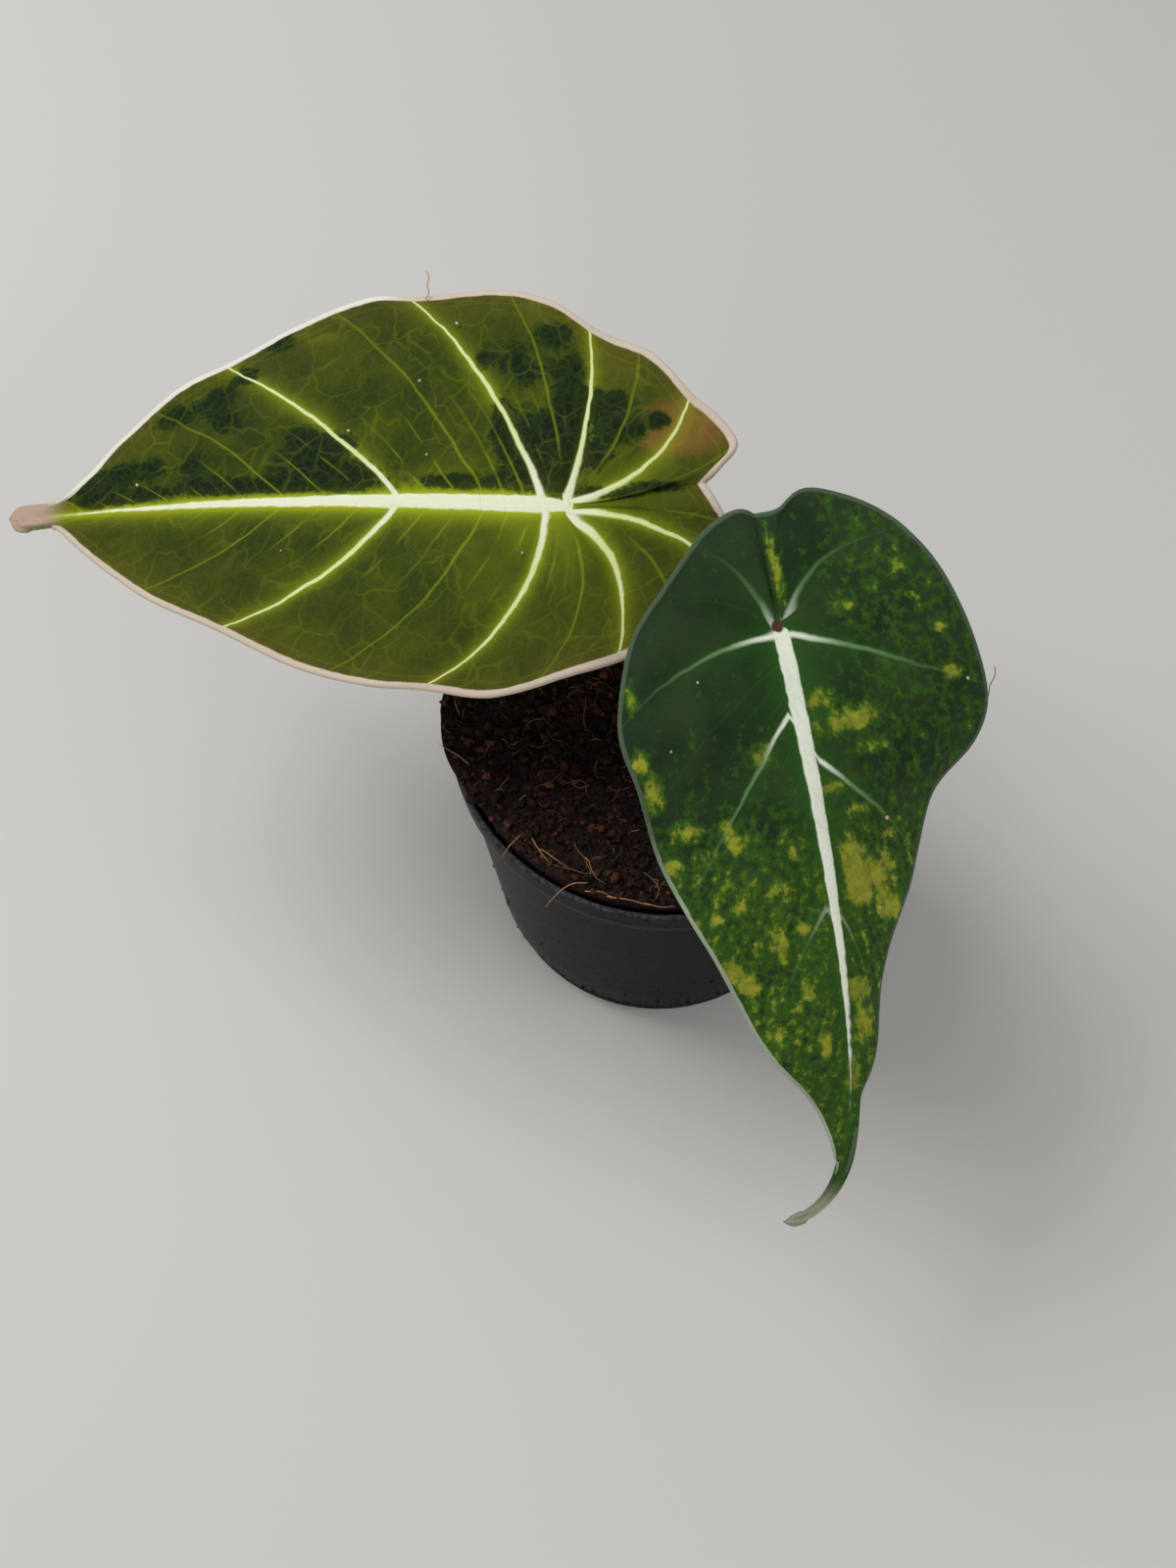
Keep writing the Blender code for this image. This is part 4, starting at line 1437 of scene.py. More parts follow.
    def bend(
        self,
        mesh: bmesh.types.BMesh,
        columns: Sequence[tuple[Half, Zone, float]],
        rows: Sequence[float],
    ) -> None:
        """Moves the grid's points into place and writes what the finish reads.

        Args:
            mesh: The double grid.
            columns: Each column's half, zone and share.
            rows: Each line's row.
        """
        column, line = mesh.verts.layers.int["column"], mesh.verts.layers.int["line"]
        under, plan = mesh.verts.layers.float["under"], mesh.verts.layers.float_vector["plan"]
        layers = {name: mesh.verts.layers.float[name] for name in BLADE_VALUES}
        samples = {}
        for vert in mesh.verts:
            key = (vert[column], vert[line])
            if key not in samples:
                half, zone, share = columns[key[0]]
                samples[key] = self.sample(half, rows[key[1]], zone, share)
            found = samples[key]
            vert.co = found["bottom" if vert[under] > 0.5 else "top"] * MM
            vert[plan] = found["plan"]
            for name, layer in layers.items():
                vert[layer] = found[name]
        for name in ("column", "line"):
            mesh.verts.layers.int.remove(mesh.verts.layers.int[name])


@dataclass(frozen=True)
class PlasticFinish:
    """Thin black plastic with fine turning lines, scuffs, and soil dust at the rim and the foot,
    with a painted highlight along the lip's top edge.

    Each pair of heights is where dust or the painted highlight starts and where it is full.
    """

    colour: Colour = paint(6, 6, 7)
    scuff: Colour = paint(58, 58, 62)
    # Colour of the painted highlight along the lip's top edge
    lip_glint: Colour = paint(76, 76, 82)
    dust: Colour = paint(52, 34, 24)
    foot_dust: tuple[float, float] = (2.0, 14.0)
    rim_dust: tuple[float, float] = (60.0, 68.5)
    rim_glint: tuple[float, float] = (67.2, 67.9)

    def material(self) -> bpy.types.Material:
        """Writes the plastic's nodes.

        Returns:
            The material.
        """
        mix = Recipe("pot_plastic")
        place = mix.place()
        height = mix.part(place, "Z")
        lines = mix.noise(mix.scaled(place, (0.05, 0.05, 3.0)), 1.0, 3.0)
        scratch = mix.noise(mix.scaled(place, (0.4, 0.4, 0.05)), 3.0, 4.0, 0.7)
        scuffs = scratch.rises(0.62, 0.72)
        specks = mix.noise(place, 1.1, 3.0, 0.7)
        low = 1.0 - height.rises(*self.foot_dust)
        high = height.rises(*self.rim_dust)
        dusty = (specks + low * 0.14 + high * 0.1).rises(0.66, 0.74)
        # Painted highlight: a lighter band round the top of the lip, broken up by the scratch noise
        lip_glint = height.rises(*self.rim_glint) * (0.4 + 0.6 * scratch.rises(0.4, 0.6))
        colour = mix.blend(scuffs * 0.15, self.colour, self.scuff)
        colour = mix.blend(lip_glint, colour, self.lip_glint)
        colour = mix.blend(dusty * 0.7, colour, self.dust)
        rough = 0.24 + scuffs * 0.2 + dusty * 0.5 + lines * 0.08
        relief = lines * 0.5 + specks * 0.3 + dusty * 0.5
        return mix.finish(
            Base_Color=colour,
            Roughness=rough,
            Normal=mix.bump(relief, 0.12),
            Specular_IOR_Level=0.015,
        )


@dataclass(frozen=True)
class CoirFinish:
    """Damp dark coir: near black to reddish brown grains."""

    stops: tuple[tuple[float, Colour], ...] = (
        (0.0, paint(10, 5, 4)),
        (0.38, paint(26, 13, 9)),
        (0.6, paint(60, 29, 19)),
        (1.0, paint(128, 72, 46)),
    )

    def material(self, name: str = "coir") -> bpy.types.Material:
        """Writes the coir's nodes.

        Args:
            name: The material's name.

        Returns:
            The material.
        """
        mix = Recipe(name)
        place = mix.place()
        cells = mix.grains(place, 0.9)
        fine = mix.noise(place, 2.5, 4.0, 0.65)
        broad = mix.noise(place, 0.2, 2.0)
        tone = cells * 0.3 + fine * 0.45 + (broad - 0.5) * 0.4 + mix.attribute("tone") * 0.4
        colour = mix.ramp(tone, self.stops)
        wet = mix.noise(place, 1.4, 3.0).rises(0.45, 0.6)
        return mix.finish(
            Base_Color=colour,
            Roughness=0.85 - wet * 0.55,
            Normal=mix.bump(fine + cells * 0.6, 0.7),
            Specular_IOR_Level=0.3,
        )


@dataclass(frozen=True)
class FibreFinish:
    """Coir fibres and stray hairs, from dark brown to straw by their own tone."""

    name: str = "coir_fibre"
    dark: Colour = paint(44, 24, 15)
    light: Colour = paint(190, 138, 92)

    def material(self) -> bpy.types.Material:
        """Writes the fibres' nodes.

        Returns:
            The material.
        """
        mix = Recipe(self.name)
        place = mix.place()
        tone = mix.attribute("tone")
        bands = mix.noise(place, 1.6, 3.0)
        colour = mix.blend((tone + (bands - 0.5) * 0.5).rises(0.0, 1.0), self.dark, self.light)
        rough = 0.6 + bands * 0.2
        return mix.finish(Base_Color=colour, Roughness=rough, Normal=mix.bump(bands, 0.05))


@dataclass(frozen=True)
class StemFinish:
    """Petioles: olive green skin, brownish towards the crown, with fine lengthwise streaks.

    greening holds the heights where the green starts and where it is full.
    """

    low: Colour = paint(92, 66, 44)
    high: Colour = paint(128, 140, 72)
    streak: Colour = paint(70, 78, 34)
    greening: tuple[float, float] = (72.0, 96.0)

    def material(self) -> bpy.types.Material:
        """Writes the stems' nodes.

        Returns:
            The material.
        """
        mix = Recipe("petiole_skin")
        place = mix.place()
        height = mix.part(place, "Z")
        streaks = mix.noise(mix.scaled(place, (2.4, 2.4, 0.25)), 1.0, 4.0, 0.6)
        spots = mix.noise(place, 0.7, 3.0)
        colour = mix.blend(height.rises(*self.greening), self.low, self.high)
        colour = mix.blend(streaks.rises(0.5, 0.7) * 0.6, colour, self.streak)
        colour = mix.blend(spots.rises(0.58, 0.7) * 0.4, colour, self.low)
        return mix.finish(
            Base_Color=colour,
            Roughness=0.42 + spots * 0.15,
            Normal=mix.bump(streaks, 0.15),
            Sheen_Weight=0.1,
        )


@dataclass(frozen=True)
class BarkFinish:
    """The crown's corky skin with pale leaf scars."""

    dark: Colour = paint(58, 38, 26)
    light: Colour = paint(132, 100, 68)

    def material(self) -> bpy.types.Material:
        """Writes the bark's nodes.

        Returns:
            The material.
        """
        mix = Recipe("crown_bark")
        place = mix.place()
        rings = mix.noise(mix.scaled(place, (0.25, 0.25, 1.6)), 1.0, 4.0, 0.65)
        pits = mix.noise(place, 1.8, 4.0, 0.7)
        colour = mix.blend((rings * 0.7 + pits * 0.5 - 0.25).rises(0.2, 0.6), self.dark, self.light)
        rough = 0.78 + pits * 0.15
        return mix.finish(Base_Color=colour, Roughness=rough, Normal=mix.bump(rings + pits, 0.4))


@dataclass
class NurseryPot:
    """The round tapered pot with its foot, rolled lip and drain holes."""

    height: float = 68.0
    rim: float = 38.0
    foot: float = 30.2
    foot_height: float = 5.0
    foot_step: float = 1.0
    lip: float = 7.0
    lip_step: float = 0.6
    wall: float = 1.0
    floor: float = 1.3
    sides: int = 144
    holes: int = 8
    hole: float = 2.6
    hole_sides: int = 24
    hole_circle: float = 23.5
    finish: PlasticFinish = field(default_factory=PlasticFinish)

    def wall_radius(self, height: float) -> float:
        """The outer radius on the tapered wall between foot and lip.

        Args:
            height: Height above the floor.

        Returns:
            The radius.
        """
        low, high = self.foot_height, self.height - self.lip
        start, end = self.foot + self.foot_step, self.rim - self.wall - self.lip_step
        return start + (height - low) / (high - low) * (end - start)

    def profile(self) -> list[tuple[float, float]]:
        """The closed section, up the outside, round the rolled lip and down the inside.

        Returns:
            Pairs of radius and height.
        """
        foot, rim, wall, step = self.foot, self.rim, self.wall, self.foot_height
        lip = self.height - self.lip
        above = self.wall_radius(step + 0.8)
        outside = [
            (0.0, 0.0),
            (foot - 2.0, 0.0),
            (foot - 0.6, 0.05),
            (foot - 0.15, 0.2),
            (foot, 0.6),
            (foot + 0.2, step - 0.3),
            (foot + 0.35, step),
            (above - 0.2, step + 0.3),
            (above, step + 0.8),
        ]
        for k in range(1, 7):
            height = step + (lip - step) * k / 6.0
            outside.append((self.wall_radius(height), height))
        outside += [
            (rim - 0.75, lip + 0.15),
            (rim - 0.5, lip + 0.5),
            (rim - 0.3, lip + 2.5),
            (rim - 0.1, self.height - 1.0),
        ]
        rolled = []
        for k in range(7):
            angle = math.pi * k / 6.0
            out, up = 0.5 * math.cos(angle), 0.5 * math.sin(angle)
            rolled.append((rim - 0.5 + out, self.height - 0.5 + up))
        inside = [
            (rim - wall - 0.3, lip + 1.0),
            (self.wall_radius(lip) - wall, lip - 0.6),
            (self.wall_radius(step + 1.0) - wall, step + 1.2),
            (foot - wall + 0.1, step),
            (foot - wall, self.floor + 0.4),
            (foot - wall - 0.5, self.floor),
            (0.0, self.floor),
        ]
        return outside + rolled + inside

    def build(self) -> bpy.types.Object:
        """Spins the section, drills the floor and dresses the pot.

        Returns:
            The pot.
        """
        body = added(spun(self.profile(), self.sides), "nursery_pot", self.finish.material())
        drills = bmesh.new()
        for k in range(self.holes):
            angle = math.tau * (k + 0.5) / self.holes
            middle = Vector((math.cos(angle), math.sin(angle), 0.0)) * self.hole_circle
            bmesh.ops.create_cone(
                drills,
                cap_ends=True,
                segments=self.hole_sides,
                radius1=self.hole * MM,
                radius2=self.hole * MM,
                depth=(self.floor + 2.0) * MM,
                matrix=Matrix.Translation((middle + Vector((0.0, 0.0, self.floor / 2.0))) * MM),
            )
        self.drill(body, drills)
        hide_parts("pot")
        return body

    def drill(self, body: bpy.types.Object, drills: bmesh.types.BMesh) -> None:
        """Cuts the drills out of the pot and keeps the result in its mesh.

        Args:
            body: The pot.
            drills: The drills, which are freed.
        """
        data = bpy.data.meshes.new("drills")
        drills.to_mesh(data)
        drills.free()
        tool = bpy.data.objects.new("drills", data)
        bpy.context.scene.collection.objects.link(tool)
        modifier = body.modifiers.new("holes", "BOOLEAN")
        modifier.operation = "DIFFERENCE"
        modifier.solver = "EXACT"
        modifier.object = tool
        bpy.context.view_layer.update()
        seen = body.evaluated_get(bpy.context.evaluated_depsgraph_get())
        drilled = bpy.data.meshes.new_from_object(seen)
        body.modifiers.clear()
        body.data = drilled
        drilled.set_sharp_from_angle(angle=math.radians(40.0))
        bpy.data.objects.remove(tool, do_unlink=True)


@dataclass(frozen=True)
class RimFibre:
    """A fibre near the pot's rim: where it starts and where it goes, in degrees and millimetres."""

    azimuth: float
    radius: float
    swing: float
    outward: float
    rise: float = 0.8
    drop: float = 0.0
    curl: float = 0.2
    thickness: float = 0.09
    tone: float = 0.9

    def line(self, filling: "CoirFilling") -> list[Vector]:
        """The fibre's points.

        Args:
            filling: The coir that it lies on.

        Returns:
            Points from its inner end, lying on the coir or over the rim.
        """
        steps = 12
        found = []
        for k in range(steps + 1):
            share = k / steps
            wave = self.curl * math.sin(6.0 * share + self.azimuth)
            radius = self.radius + self.outward * share + wave
            angle = math.radians(self.azimuth + self.swing * share)
            x, y = radius * math.cos(angle), radius * math.sin(angle)
            base = filling.level(x, y) if radius < filling.reach(angle) else filling.edge
            height = base + 0.2 + self.rise * math.sin(math.pi * share) - self.drop * share**4
            found.append(Vector((x, y, height)))
        return found


RIM_FIBRES = (
    RimFibre(247.0, 34.6, -8.0, 5.4, rise=1.6, drop=4.5, curl=0.3, thickness=0.1, tone=1.0),
    RimFibre(224.5, 33.2, 10.5, 1.8, thickness=0.1, tone=1.0, curl=0.1),
    RimFibre(230.0, 34.0, 10.0, 0.0, rise=1.0, curl=0.1),
    RimFibre(223.3, 34.4, 0.4, 4.4, rise=0.3, drop=2.0, curl=0.1, thickness=0.16, tone=0.55),
    RimFibre(197.6, 35.4, -8.3, 4.2, rise=0.9, curl=0.15),
    RimFibre(181.5, 35.8, -6.0, 1.2, rise=0.7, curl=0.1, tone=0.75),
    RimFibre(247.0, 36.2, 8.5, -0.5, rise=0.3, curl=0.25, tone=0.95),
    RimFibre(253.0, 35.9, 11.5, 0.2, rise=0.3, curl=0.15, thickness=0.11),
    RimFibre(262.0, 36.1, 9.0, 0.3, rise=0.2, curl=0.2),
    RimFibre(243.0, 32.0, 9.0, 2.6, rise=2.0, curl=0.6, thickness=0.07, tone=0.8),
    RimFibre(214.6, 28.6, 0.6, 2.9, rise=0.5, curl=0.1, thickness=0.06),
    RimFibre(206.0, 30.0, 3.0, 3.4, rise=0.4, curl=0.1, thickness=0.06, tone=0.7),
    RimFibre(193.0, 31.0, 4.0, 2.0, rise=0.4, curl=0.1, thickness=0.06, tone=0.7),
)


@dataclass
class CoirFilling:
    """The coir in the pot: a lumpy dome with loose crumbs and fibres, some over the rim."""

    pot: NurseryPot
    top: float = 72.6
    edge: float = 69.3
    lump: float = 0.9
    lump_size: float = 7.0
    spill_azimuth: float = math.radians(183.0)
    spill_half_angle: float = math.radians(42.0)
    spill_reach: float = 3.6
    gap: float = 0.3
    sides: int = 180
    rings: int = 64
    crumbs: int = 5600
    wall_crumbs: int = 60
    fibres: int = 700
    seed: int = 11
    finish: CoirFinish = field(default_factory=CoirFinish)
    fibre_finish: FibreFinish = field(default_factory=FibreFinish)

    def spill(self, azimuth: float) -> float:
        """How far the coir hangs over the rim at an azimuth, from 0 to 1."""
        away = abs(math.remainder(azimuth - self.spill_azimuth, math.tau))
        return smoothstep(self.spill_half_angle, 0.0, away)

    def reach(self, azimuth: float) -> float:
        """The filling's outer radius at an azimuth."""
        ragged = self.spill_reach + 0.4 * noise.noise(Vector((azimuth * 4.0, 0.0, 0.0)))
        return self.pot.rim - self.pot.wall - self.gap - 1.1 + ragged * self.spill(azimuth)

    def level(self, x: float, y: float) -> float:
        """Height of the coir's top at a place.

        Args:
            x: The place's x.
            y: Its y.

        Returns:
            The height.
        """
        radius = math.hypot(x, y)
        share = 1.0 - min(1.0, radius / self.reach(math.atan2(y, x)))
        dome = self.edge + (self.top - self.edge) * math.sin(share * math.pi / 2.0)
        coarse = noise.noise(Vector((x, y, 3.0)) / self.lump_size)
        fine = noise.noise(Vector((x, y, 9.0)) * 2.3 / self.lump_size)
        large, small = Vector((x, y, 1.0)) * 0.9, Vector((x, y, 5.0)) * 2.1
        crumbly = noise.noise(large) + 0.6 * noise.noise(small)
        lumps = self.lump * (coarse + 0.5 * fine) + 0.45 * crumbly
        return dome + lumps * smoothstep(0.0, 0.12, share)

    def build(self) -> list[bpy.types.Object]:
        """Builds the filling, its crumbs and its fibres.

        Returns:
            The three pieces.
        """
        body = self.build_body()
        crumbs = self.build_crumbs()
        fibres = self.build_fibres()
        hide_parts("soil")
        return [body, crumbs, fibres]

    def build_body(self) -> bpy.types.Object:
        """Spins the plug, whose top stands at a mark, and sets the top at its own uneven level.

        Returns:
            The filling.
        """
        pot, gap = self.pot, self.gap
        lip, step = pot.height - pot.lip, pot.foot_height
        side = [
            (0.0, pot.floor + gap),
            (pot.foot - pot.wall - gap, pot.floor + gap),
            (pot.wall_radius(step + 0.8) - pot.wall - gap, step + 1.2),
            (pot.wall_radius(lip) - pot.wall - gap, lip - 0.8),
            (pot.rim - pot.wall - gap - 0.4, pot.height + gap),
        ]
        rim = self.reach(0.0)
        flat = [(rim * (1.0 - k / self.rings), TOP_MARK) for k in range(self.rings)]
        mesh = spun(side + flat + [(0.0, TOP_MARK)], self.sides)
        for vert in mesh.verts:
            if vert.co.z > 0.9 * TOP_MARK * MM:
                azimuth = math.atan2(vert.co.y, vert.co.x)
                share = math.hypot(vert.co.x, vert.co.y) / (rim * MM)
                radius = self.reach(azimuth) * share
                x, y = radius * math.cos(azimuth), radius * math.sin(azimuth)
                vert.co = Vector((x, y, self.level(x, y))) * MM
        bmesh.ops.recalc_face_normals(mesh, faces=mesh.faces)
        return added(mesh, "coir_filling", self.finish.material())

    def scatter(self, dice: random.Random) -> Vector:
        """A random point on the coir's top.

        Args:
            dice: The source of chance.

        Returns:
            The point.
        """
        azimuth = dice.uniform(-math.pi, math.pi)
        edge = self.reach(azimuth) + 0.7 * (1.0 - self.spill(azimuth))
        radius = edge * math.sqrt(dice.random()) * 0.995
        x, y = radius * math.cos(azimuth), radius * math.sin(azimuth)
        return Vector((x, y, self.level(x, y)))

    def build_crumbs(self) -> bpy.types.Object:
        """Strews crumbs over the top, and a few small ones on the pot's lower wall.

        Returns:
            The crumbs, in one piece.
        """
        dice = random.Random(self.seed)
        heap = Heap()
        for _ in range(self.crumbs):
            size = 0.3 + 0.9 * dice.random() ** 4
            place = self.scatter(dice) + Vector((0.0, 0.0, size * 0.3))
            self.add_crumb(heap.room(), place, size, dice)
        for _ in range(self.wall_crumbs):
            azimuth = math.radians(dice.uniform(165.0, 320.0))
            height = dice.choice((5.7, dice.uniform(6.0, 30.0)))
            radius = self.pot.wall_radius(height) + 0.05
            size = dice.uniform(0.12, 0.35)
            place = Vector((radius * math.cos(azimuth), radius * math.sin(azimuth), height))
            self.add_crumb(heap.room(), place, size, dice)
        return added(heap.gathered(), "coir_crumbs", self.finish.material("coir_crumb"))

    def add_crumb(
        self,
        mesh: bmesh.types.BMesh,
        place: Vector,
        size: float,
        dice: random.Random,
    ) -> None:
        """Adds one uneven crumb of a size in millimetres.

        Args:
            mesh: The bmesh that takes it.
            place: Its middle.
            size: Its radius.
            dice: The source of chance.
        """
        angle = dice.uniform(0.0, 6.28)
        turn = Matrix.Rotation(angle, 4, (dice.uniform(-1, 1), dice.uniform(-1, 1), 0.5))
        flat = Matrix.Diagonal((1.0, dice.uniform(0.5, 1.0), dice.uniform(0.35, 0.8), 1.0))
        made = bmesh.ops.create_icosphere(mesh, subdivisions=1, radius=size * MM)["verts"]
        tone = mesh.verts.layers.float["tone"]
        shade = dice.random() ** 2
        for vert in made:
            vert.co *= dice.uniform(0.5, 1.45)
            vert.co = (turn @ flat @ vert.co) + place * MM
            vert[tone] = shade

    def build_fibres(self) -> bpy.types.Object:
        """Lays fibres on the top, and a few that arch over the rim.

        Returns:
            The fibres, in one piece.
        """
        dice = random.Random(self.seed + 1)
        heap = Heap()
        for _ in range(self.fibres):
            line = self.lying_line(self.scatter(dice), dice)
            shade = 0.7 * dice.random() ** 1.5
            sweep(heap.room(), line, [dice.uniform(0.03, 0.08)] * len(line), 4, shade)
        for fibre in RIM_FIBRES:
            line = fibre.line(self)
            radii = [fibre.thickness * (1.0 - 0.045 * k) for k in range(len(line))]
            sweep(heap.room(), line, radii, 6, fibre.tone)
        mesh = heap.gathered()
        bmesh.ops.recalc_face_normals(mesh, faces=mesh.faces)
        return added(mesh, "coir_fibres", self.fibre_finish.material())

    def lying_line(self, start: Vector, dice: random.Random) -> list[Vector]:
        """A bent line that keeps close to the coir.

        Args:
            start: Its first point.
            dice: The source of chance.

        Returns:
            Its points.
        """
        heading = dice.uniform(0.0, math.tau)
        bend = dice.uniform(-0.45, 0.45)
        length = 1.5 + 7.0 * dice.random() ** 3
        lift = dice.uniform(0.15, 0.6)
        steps = 7
        line = []
        place = start.copy()
        for k in range(steps + 1):
            edge = self.reach(math.atan2(place.y, place.x)) - 0.3
            inside = min(1.0, edge / max(0.1, place.xy.length))
            place.x, place.y = place.x * inside, place.y * inside
            hump = math.sin(math.pi * k / steps) * lift
            line.append(Vector((place.x, place.y, self.level(place.x, place.y) + 0.15 + hump)))
            place += Vector((math.cos(heading), math.sin(heading), 0.0)) * length / steps
            heading += bend + dice.uniform(-0.5, 0.5)
        return line


@dataclass
class Crown:
    """The short stem that holds both petioles, with rings of old leaf scars."""

    radius: float = 7.9
    foot: float = 45.0
    rings_from: float = 64.0
    top: float = 78.0
    sides: int = 72
    spread: float = 3.3
    socket_depth: float = 5.5
    left_lean: tuple[float, float] = (-0.12, 0.10)
    right_lean: tuple[float, float] = (0.12, -0.10)
    finish: BarkFinish = field(default_factory=BarkFinish)

    def socket(self, side: int) -> tuple[Vector, Vector]:
        """The floor of a petiole's socket, and the direction that the petiole leaves it in.

        Args:
            side: -1 for the left petiole, 1 for the right.

        Returns:
            The point and the direction.
        """
        lean = self.left_lean if side < 0 else self.right_lean
        floor = Vector((side * self.spread, 0.0, self.top - self.socket_depth))
        return floor, Vector((*lean, 1.0)).normalized()

    def profile(self) -> list[tuple[float, float]]:
        """The section from the foot up over the rings to the middle of the top.

        Returns:
            Pairs of radius and height.
        """
        radius, foot, top = self.radius, self.foot, self.top
        section = [
            (0.0, foot),
            (radius - 2.5, foot),
            (radius - 0.8, foot + 4.0),
            (radius - 0.4, self.rings_from - 4.0),
        ]
        steps = 36
        for k in range(steps + 1):
            height = self.rings_from + (top - 1.0 - self.rings_from) * k / steps
            ring = 0.35 * math.sin(height * 2.6) + 0.15 * math.sin(height * 7.0)
            section.append((radius - 0.45 + ring, height))
        return section + [(radius - 1.6, top), (radius * 0.5, top + 0.3), (0.0, top + 0.2)]

    def build(self) -> bpy.types.Object:
        """Spins the section, roughens it and dresses it.

        Returns:
            The crown.
        """
        mesh = spun(self.profile(), self.sides)
        for vert in mesh.verts:
            place = vert.co / MM
            off = 0.4 * noise.noise(place / 2.5) + 0.2 * noise.noise(place / 0.9)
            flat = Vector((place.x, place.y, 0.0))
            if flat.length > 1.0:
                vert.co += flat.normalized() * off * MM
        piece = added(mesh, "crown_stem", self.finish.material())
        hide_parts("crown")
        return piece


@dataclass
class Petiole:
    """A fleshy petiole from its socket to the blade, with a sheath below and a flare above."""

    name: str
    node: str
    side: int
    leaf: Leaf
    crown: Crown
    material: bpy.types.Material
    base_radius: float = 2.3
    top_radius: float = 1.7
    blade_depth: float = 2.1
    blade_overlap: float = 0.6
    gap: float = 0.3
    rise: float = 7.0
    low_pull: float = 0.35
    high_pull: float = 0.33
    rings: int = 48
    sides: int = 24

    def line(self) -> list[Vector]:
        """Points from the socket to just under the blade.

        Returns:
            The points.
        """
        floor, heading = self.crown.socket(self.side)
        start = floor + heading * self.gap
        bend = start + heading * self.rise
        place, normal = Surface(self.leaf, Plan(self.leaf)).place(0.0, 0.0)
        end = place - normal * (self.blade_depth - self.blade_overlap)
        reach = (end - bend).length
        low = bend + heading * reach * self.low_pull
        high = end - normal * reach * self.high_pull
        points = [start, start.lerp(bend, 0.5)]
        for k in range(self.rings):
            t = k / (self.rings - 1)
            rest = 1.0 - t
            near, far = low * (3.0 * rest**2 * t), high * (3.0 * rest * t**2)
            points.append(bend * rest**3 + near + far + end * t**3)
        return points

    def build(self) -> bpy.types.Object:
        """Sweeps the petiole and dresses it.

        Returns:
            The petiole.
        """
        line = self.line()
        radii = []
        for k in range(len(line)):
            share = k / (len(line) - 1)
            plain = self.base_radius + (self.top_radius - self.base_radius) * share
            sheath = 0.5 * smoothstep(0.35, 0.1, share)
            flare = 0.25 * smoothstep(0.93, 1.0, share)
            radii.append(plain + sheath + flare)
        mesh = bmesh.new()
        sweep(mesh, line, radii, self.sides)
        bmesh.ops.recalc_face_normals(mesh, faces=mesh.faces)
        piece = added(mesh, self.name, self.material)
        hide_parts(self.node)
        return piece


@dataclass(frozen=True)
class DustFinish:
    """Pale specks of dust with a warm tinge."""

    pale: Colour = paint(214, 206, 196)
    warm: Colour = paint(176, 128, 112)

    def material(self) -> bpy.types.Material:
        """Writes the dust's nodes.

        Returns:
            The material.
        """
        mix = Recipe("leaf_dust")
        place = mix.place()
        tone = mix.grains(place, 0.4)
        colour = mix.blend(tone, self.pale, self.warm)
        fine = mix.noise(place, 4.0, 3.0)
        rough = 0.75 + fine * 0.2
        return mix.finish(Base_Color=colour, Roughness=rough, Normal=mix.bump(fine, 0.1))


@dataclass(frozen=True)
class Speck:
    """A speck of dust on a leaf's plan, in millimetres."""

    leaf: Leaf
    along: float
    across: float
    radius: float


@dataclass(frozen=True)
class Hair:
    """A stray fibre that stands off a leaf's margin, turned from its row by lean in degrees."""

    leaf: Leaf
    half: Half
    row: float
    length: float
    lean: float
    radius: float = 0.09
    tone: float = 0.75

    def line(self) -> list[Vector]:
        """The fibre's points.

        Returns:
            Points from the margin outwards.
        """
        plan = Plan(self.leaf)
        surface = Surface(self.leaf, plan)
        place, normal = surface.place(*plan.point(self.half, self.row, 0.985))
        inner = surface.place(*plan.point(self.half, self.row, 0.9))[0]
        turn = Matrix.Rotation(math.radians(self.lean), 3, normal)
        outward = turn @ (place - inner).normalized()
        sideways = outward.cross(normal)
        steps = 8
        found = []
        for k in range(steps + 1):
            share = k / steps
            curl = 0.5 * math.sin(math.pi * share) + 0.25 * math.sin(3.0 * math.pi * share)
            lift = normal * (0.6 + 0.5 * share)
            found.append(place + lift + outward * (self.length * share) + sideways * curl)
        return found


SPECKS = (
    Speck(LEFT_LEAF, 76.5, -4.2, 0.25),
    Speck(LEFT_LEAF, 37.7, -12.0, 0.3),
    Speck(LEFT_LEAF, 26.4, -20.6, 0.38),
    Speck(LEFT_LEAF, 23.6, -7.8, 0.3),
    Speck(LEFT_LEAF, 21.5, -31.0, 0.3),
    Speck(LEFT_LEAF, 5.4, 8.8, 0.28),
    Speck(RIGHT_LEAF, 13.3, -20.0, 0.34),
    Speck(RIGHT_LEAF, 30.5, 11.0, 0.36),
    Speck(RIGHT_LEAF, 12.4, 26.0, 0.28),
    Speck(RIGHT_LEAF, 4.0, -14.0, 0.2),
    Speck(RIGHT_LEAF, 44.0, 8.0, 0.22),
    Speck(LEFT_LEAF, 47.0, 9.0, 0.2),
)

HAIRS = (
    Hair(LEFT_LEAF, LEFT_LEAF.minus, row=2.93, length=5.0, lean=-42.0),
    Hair(RIGHT_LEAF, RIGHT_LEAF.plus, row=2.12, length=6.2, lean=84.0),
)


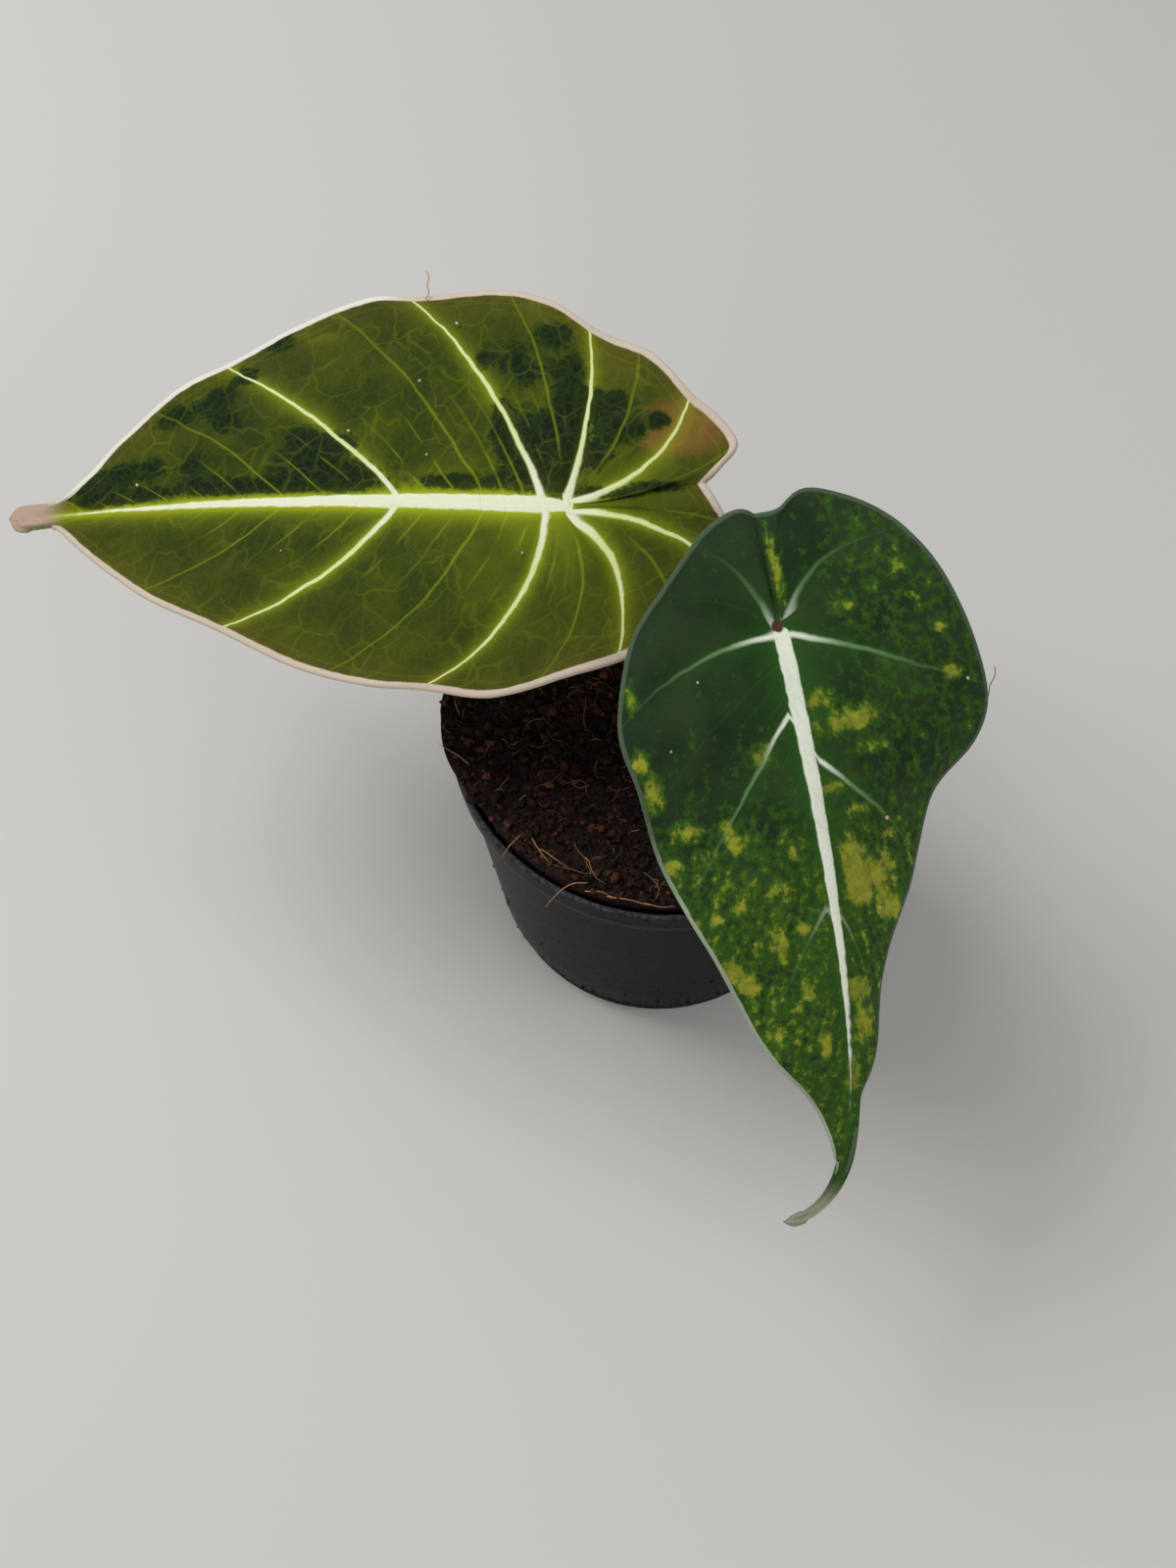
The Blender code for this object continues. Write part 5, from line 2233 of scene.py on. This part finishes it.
@dataclass
class LeafLitter:
    """What has settled on the leaves: a few specks, and a stray fibre at each leaf's margin."""

    specks: tuple[Speck, ...] = SPECKS
    hairs: tuple[Hair, ...] = HAIRS
    lift: float = 0.9
    seed: int = 5

    def build(self) -> None:
        """Builds the specks and the stray fibres."""
        self.build_specks()
        self.build_hairs()

    def build_specks(self) -> None:
        """Lays the uneven specks on the blades."""
        dice = random.Random(self.seed)
        heap = Heap()
        for speck in self.specks:
            surface = Surface(speck.leaf, Plan(speck.leaf))
            place, normal = surface.place(speck.along, speck.across)
            size = speck.radius * MM
            made = bmesh.ops.create_icosphere(heap.room(), subdivisions=1, radius=size)["verts"]
            for vert in made:
                vert.co = vert.co * dice.uniform(0.7, 1.3) + (place + normal * self.lift) * MM
        added(heap.gathered(), "leaf_specks", DustFinish().material())

    def build_hairs(self) -> None:
        """Sweeps the stray fibres."""
        heap = Heap()
        for hair in self.hairs:
            line = hair.line()
            sweep(heap.room(), line, [hair.radius] * len(line), 6, hair.tone)
        mesh = heap.gathered()
        bmesh.ops.recalc_face_normals(mesh, faces=mesh.faces)
        added(mesh, "stray_fibres", FibreFinish("stray_fibre").material())


@dataclass(frozen=True)
class Lamp:
    """A square area light, with its place and side in metres and its power in watts."""

    name: str
    place: tuple[float, float, float]
    side: float
    power: float


LAMPS = (
    Lamp("key", (-0.45, 0.25, 0.75), side=0.5, power=5.0),
    Lamp("fill", (0.55, -0.35, 0.55), side=0.6, power=1.5),
    Lamp("front", (-0.1, -0.7, 0.35), side=0.4, power=0.7),
)


@dataclass
class Studio:
    """The pale floor, the soft lights and the camera, in metres."""

    floor_colour: Colour = paint(206, 204, 200)
    floor_size: float = 3.0
    lamps: tuple[Lamp, ...] = LAMPS
    aim: tuple[float, float, float] = (0.0, 0.0, 0.07)
    sky: float = 0.3
    camera_place: tuple[float, float, float] = (-0.0137, -0.1679, 0.3995)
    camera_tilt: float = 25.0
    focal_length: float = 49.5

    def build(self) -> None:
        """Sets up everything that isn't the plant."""
        self.build_floor()
        self.build_lights()
        self.build_camera()

    def build_floor(self) -> None:
        """A plain pale floor."""
        mesh = bmesh.new()
        bmesh.ops.create_grid(mesh, x_segments=1, y_segments=1, size=self.floor_size)
        data = bpy.data.meshes.new("floor")
        mesh.to_mesh(data)
        mesh.free()
        mix = Recipe("floor")
        cloud = mix.noise(mix.node("ShaderNodeTexCoord", output="Object"), 4.0, 2.0)
        rough = 0.55 + cloud * 0.1
        data.materials.append(mix.finish(Base_Color=self.floor_colour, Roughness=rough))
        floor = bpy.data.objects.new("floor", data)
        bpy.context.scene.collection.objects.link(floor)

    def build_lights(self) -> None:
        """A large key light from the upper left, two weaker ones and a soft sky."""
        for lamp in self.lamps:
            self.add_lamp(lamp)
        world = bpy.data.worlds.new("studio")
        world.use_nodes = True
        sky = world.node_tree.nodes["Background"]
        sky.inputs["Color"].default_value = (1.0, 1.0, 1.0, 1.0)
        sky.inputs["Strength"].default_value = self.sky
        bpy.context.scene.world = world

    def add_lamp(self, lamp: Lamp) -> None:
        """Hangs a lamp that faces the plant.

        Args:
            lamp: The lamp.
        """
        data = bpy.data.lights.new(lamp.name, "AREA")
        data.size = lamp.side
        data.energy = lamp.power
        light = bpy.data.objects.new(lamp.name, data)
        light.location = lamp.place
        ray = Vector(self.aim) - Vector(lamp.place)
        light.rotation_euler = ray.to_track_quat("-Z", "Y").to_euler()
        bpy.context.scene.collection.objects.link(light)

    def build_camera(self) -> None:
        """The camera at the photograph's viewing angle."""
        lens = bpy.data.cameras.new("camera")
        lens.lens = self.focal_length
        lens.sensor_width = 36.0
        lens.clip_start = 0.01
        camera = bpy.data.objects.new("camera", lens)
        camera.location = self.camera_place
        camera.rotation_euler = (math.radians(self.camera_tilt), 0.0, 0.0)
        bpy.context.scene.collection.objects.link(camera)
        bpy.context.scene.camera = camera


def main() -> None:
    """Builds the plant and the studio."""
    logging.basicConfig(level=logging.INFO, format="%(message)s")
    pot = NurseryPot()
    pot.build()
    CoirFilling(pot).build()
    crown = Crown()
    crown.build()
    skin = StemFinish().material()
    Petiole("left_stalk", "left_petiole", -1, LEFT_LEAF, crown, skin).build()
    Petiole("right_stalk", "right_petiole", 1, RIGHT_LEAF, crown, skin).build()
    Blade(
        name="pale_blade",
        node="left_blade",
        slot="pale_leaf",
        leaf=LEFT_LEAF,
        finish=PALE_BLADE,
        patches=LEFT_PATCHES,
        bead=0.6,
    ).build()
    Blade(
        name="dark_blade",
        node="right_blade",
        slot="dark_leaf",
        leaf=RIGHT_LEAF,
        finish=DARK_BLADE,
        patches=RIGHT_PATCHES,
        bead=0.45,
    ).build()
    LeafLitter().build()
    Studio().build()
    bpy.context.scene.view_settings.view_transform = "Standard"


if __name__ == "__main__":
    main()
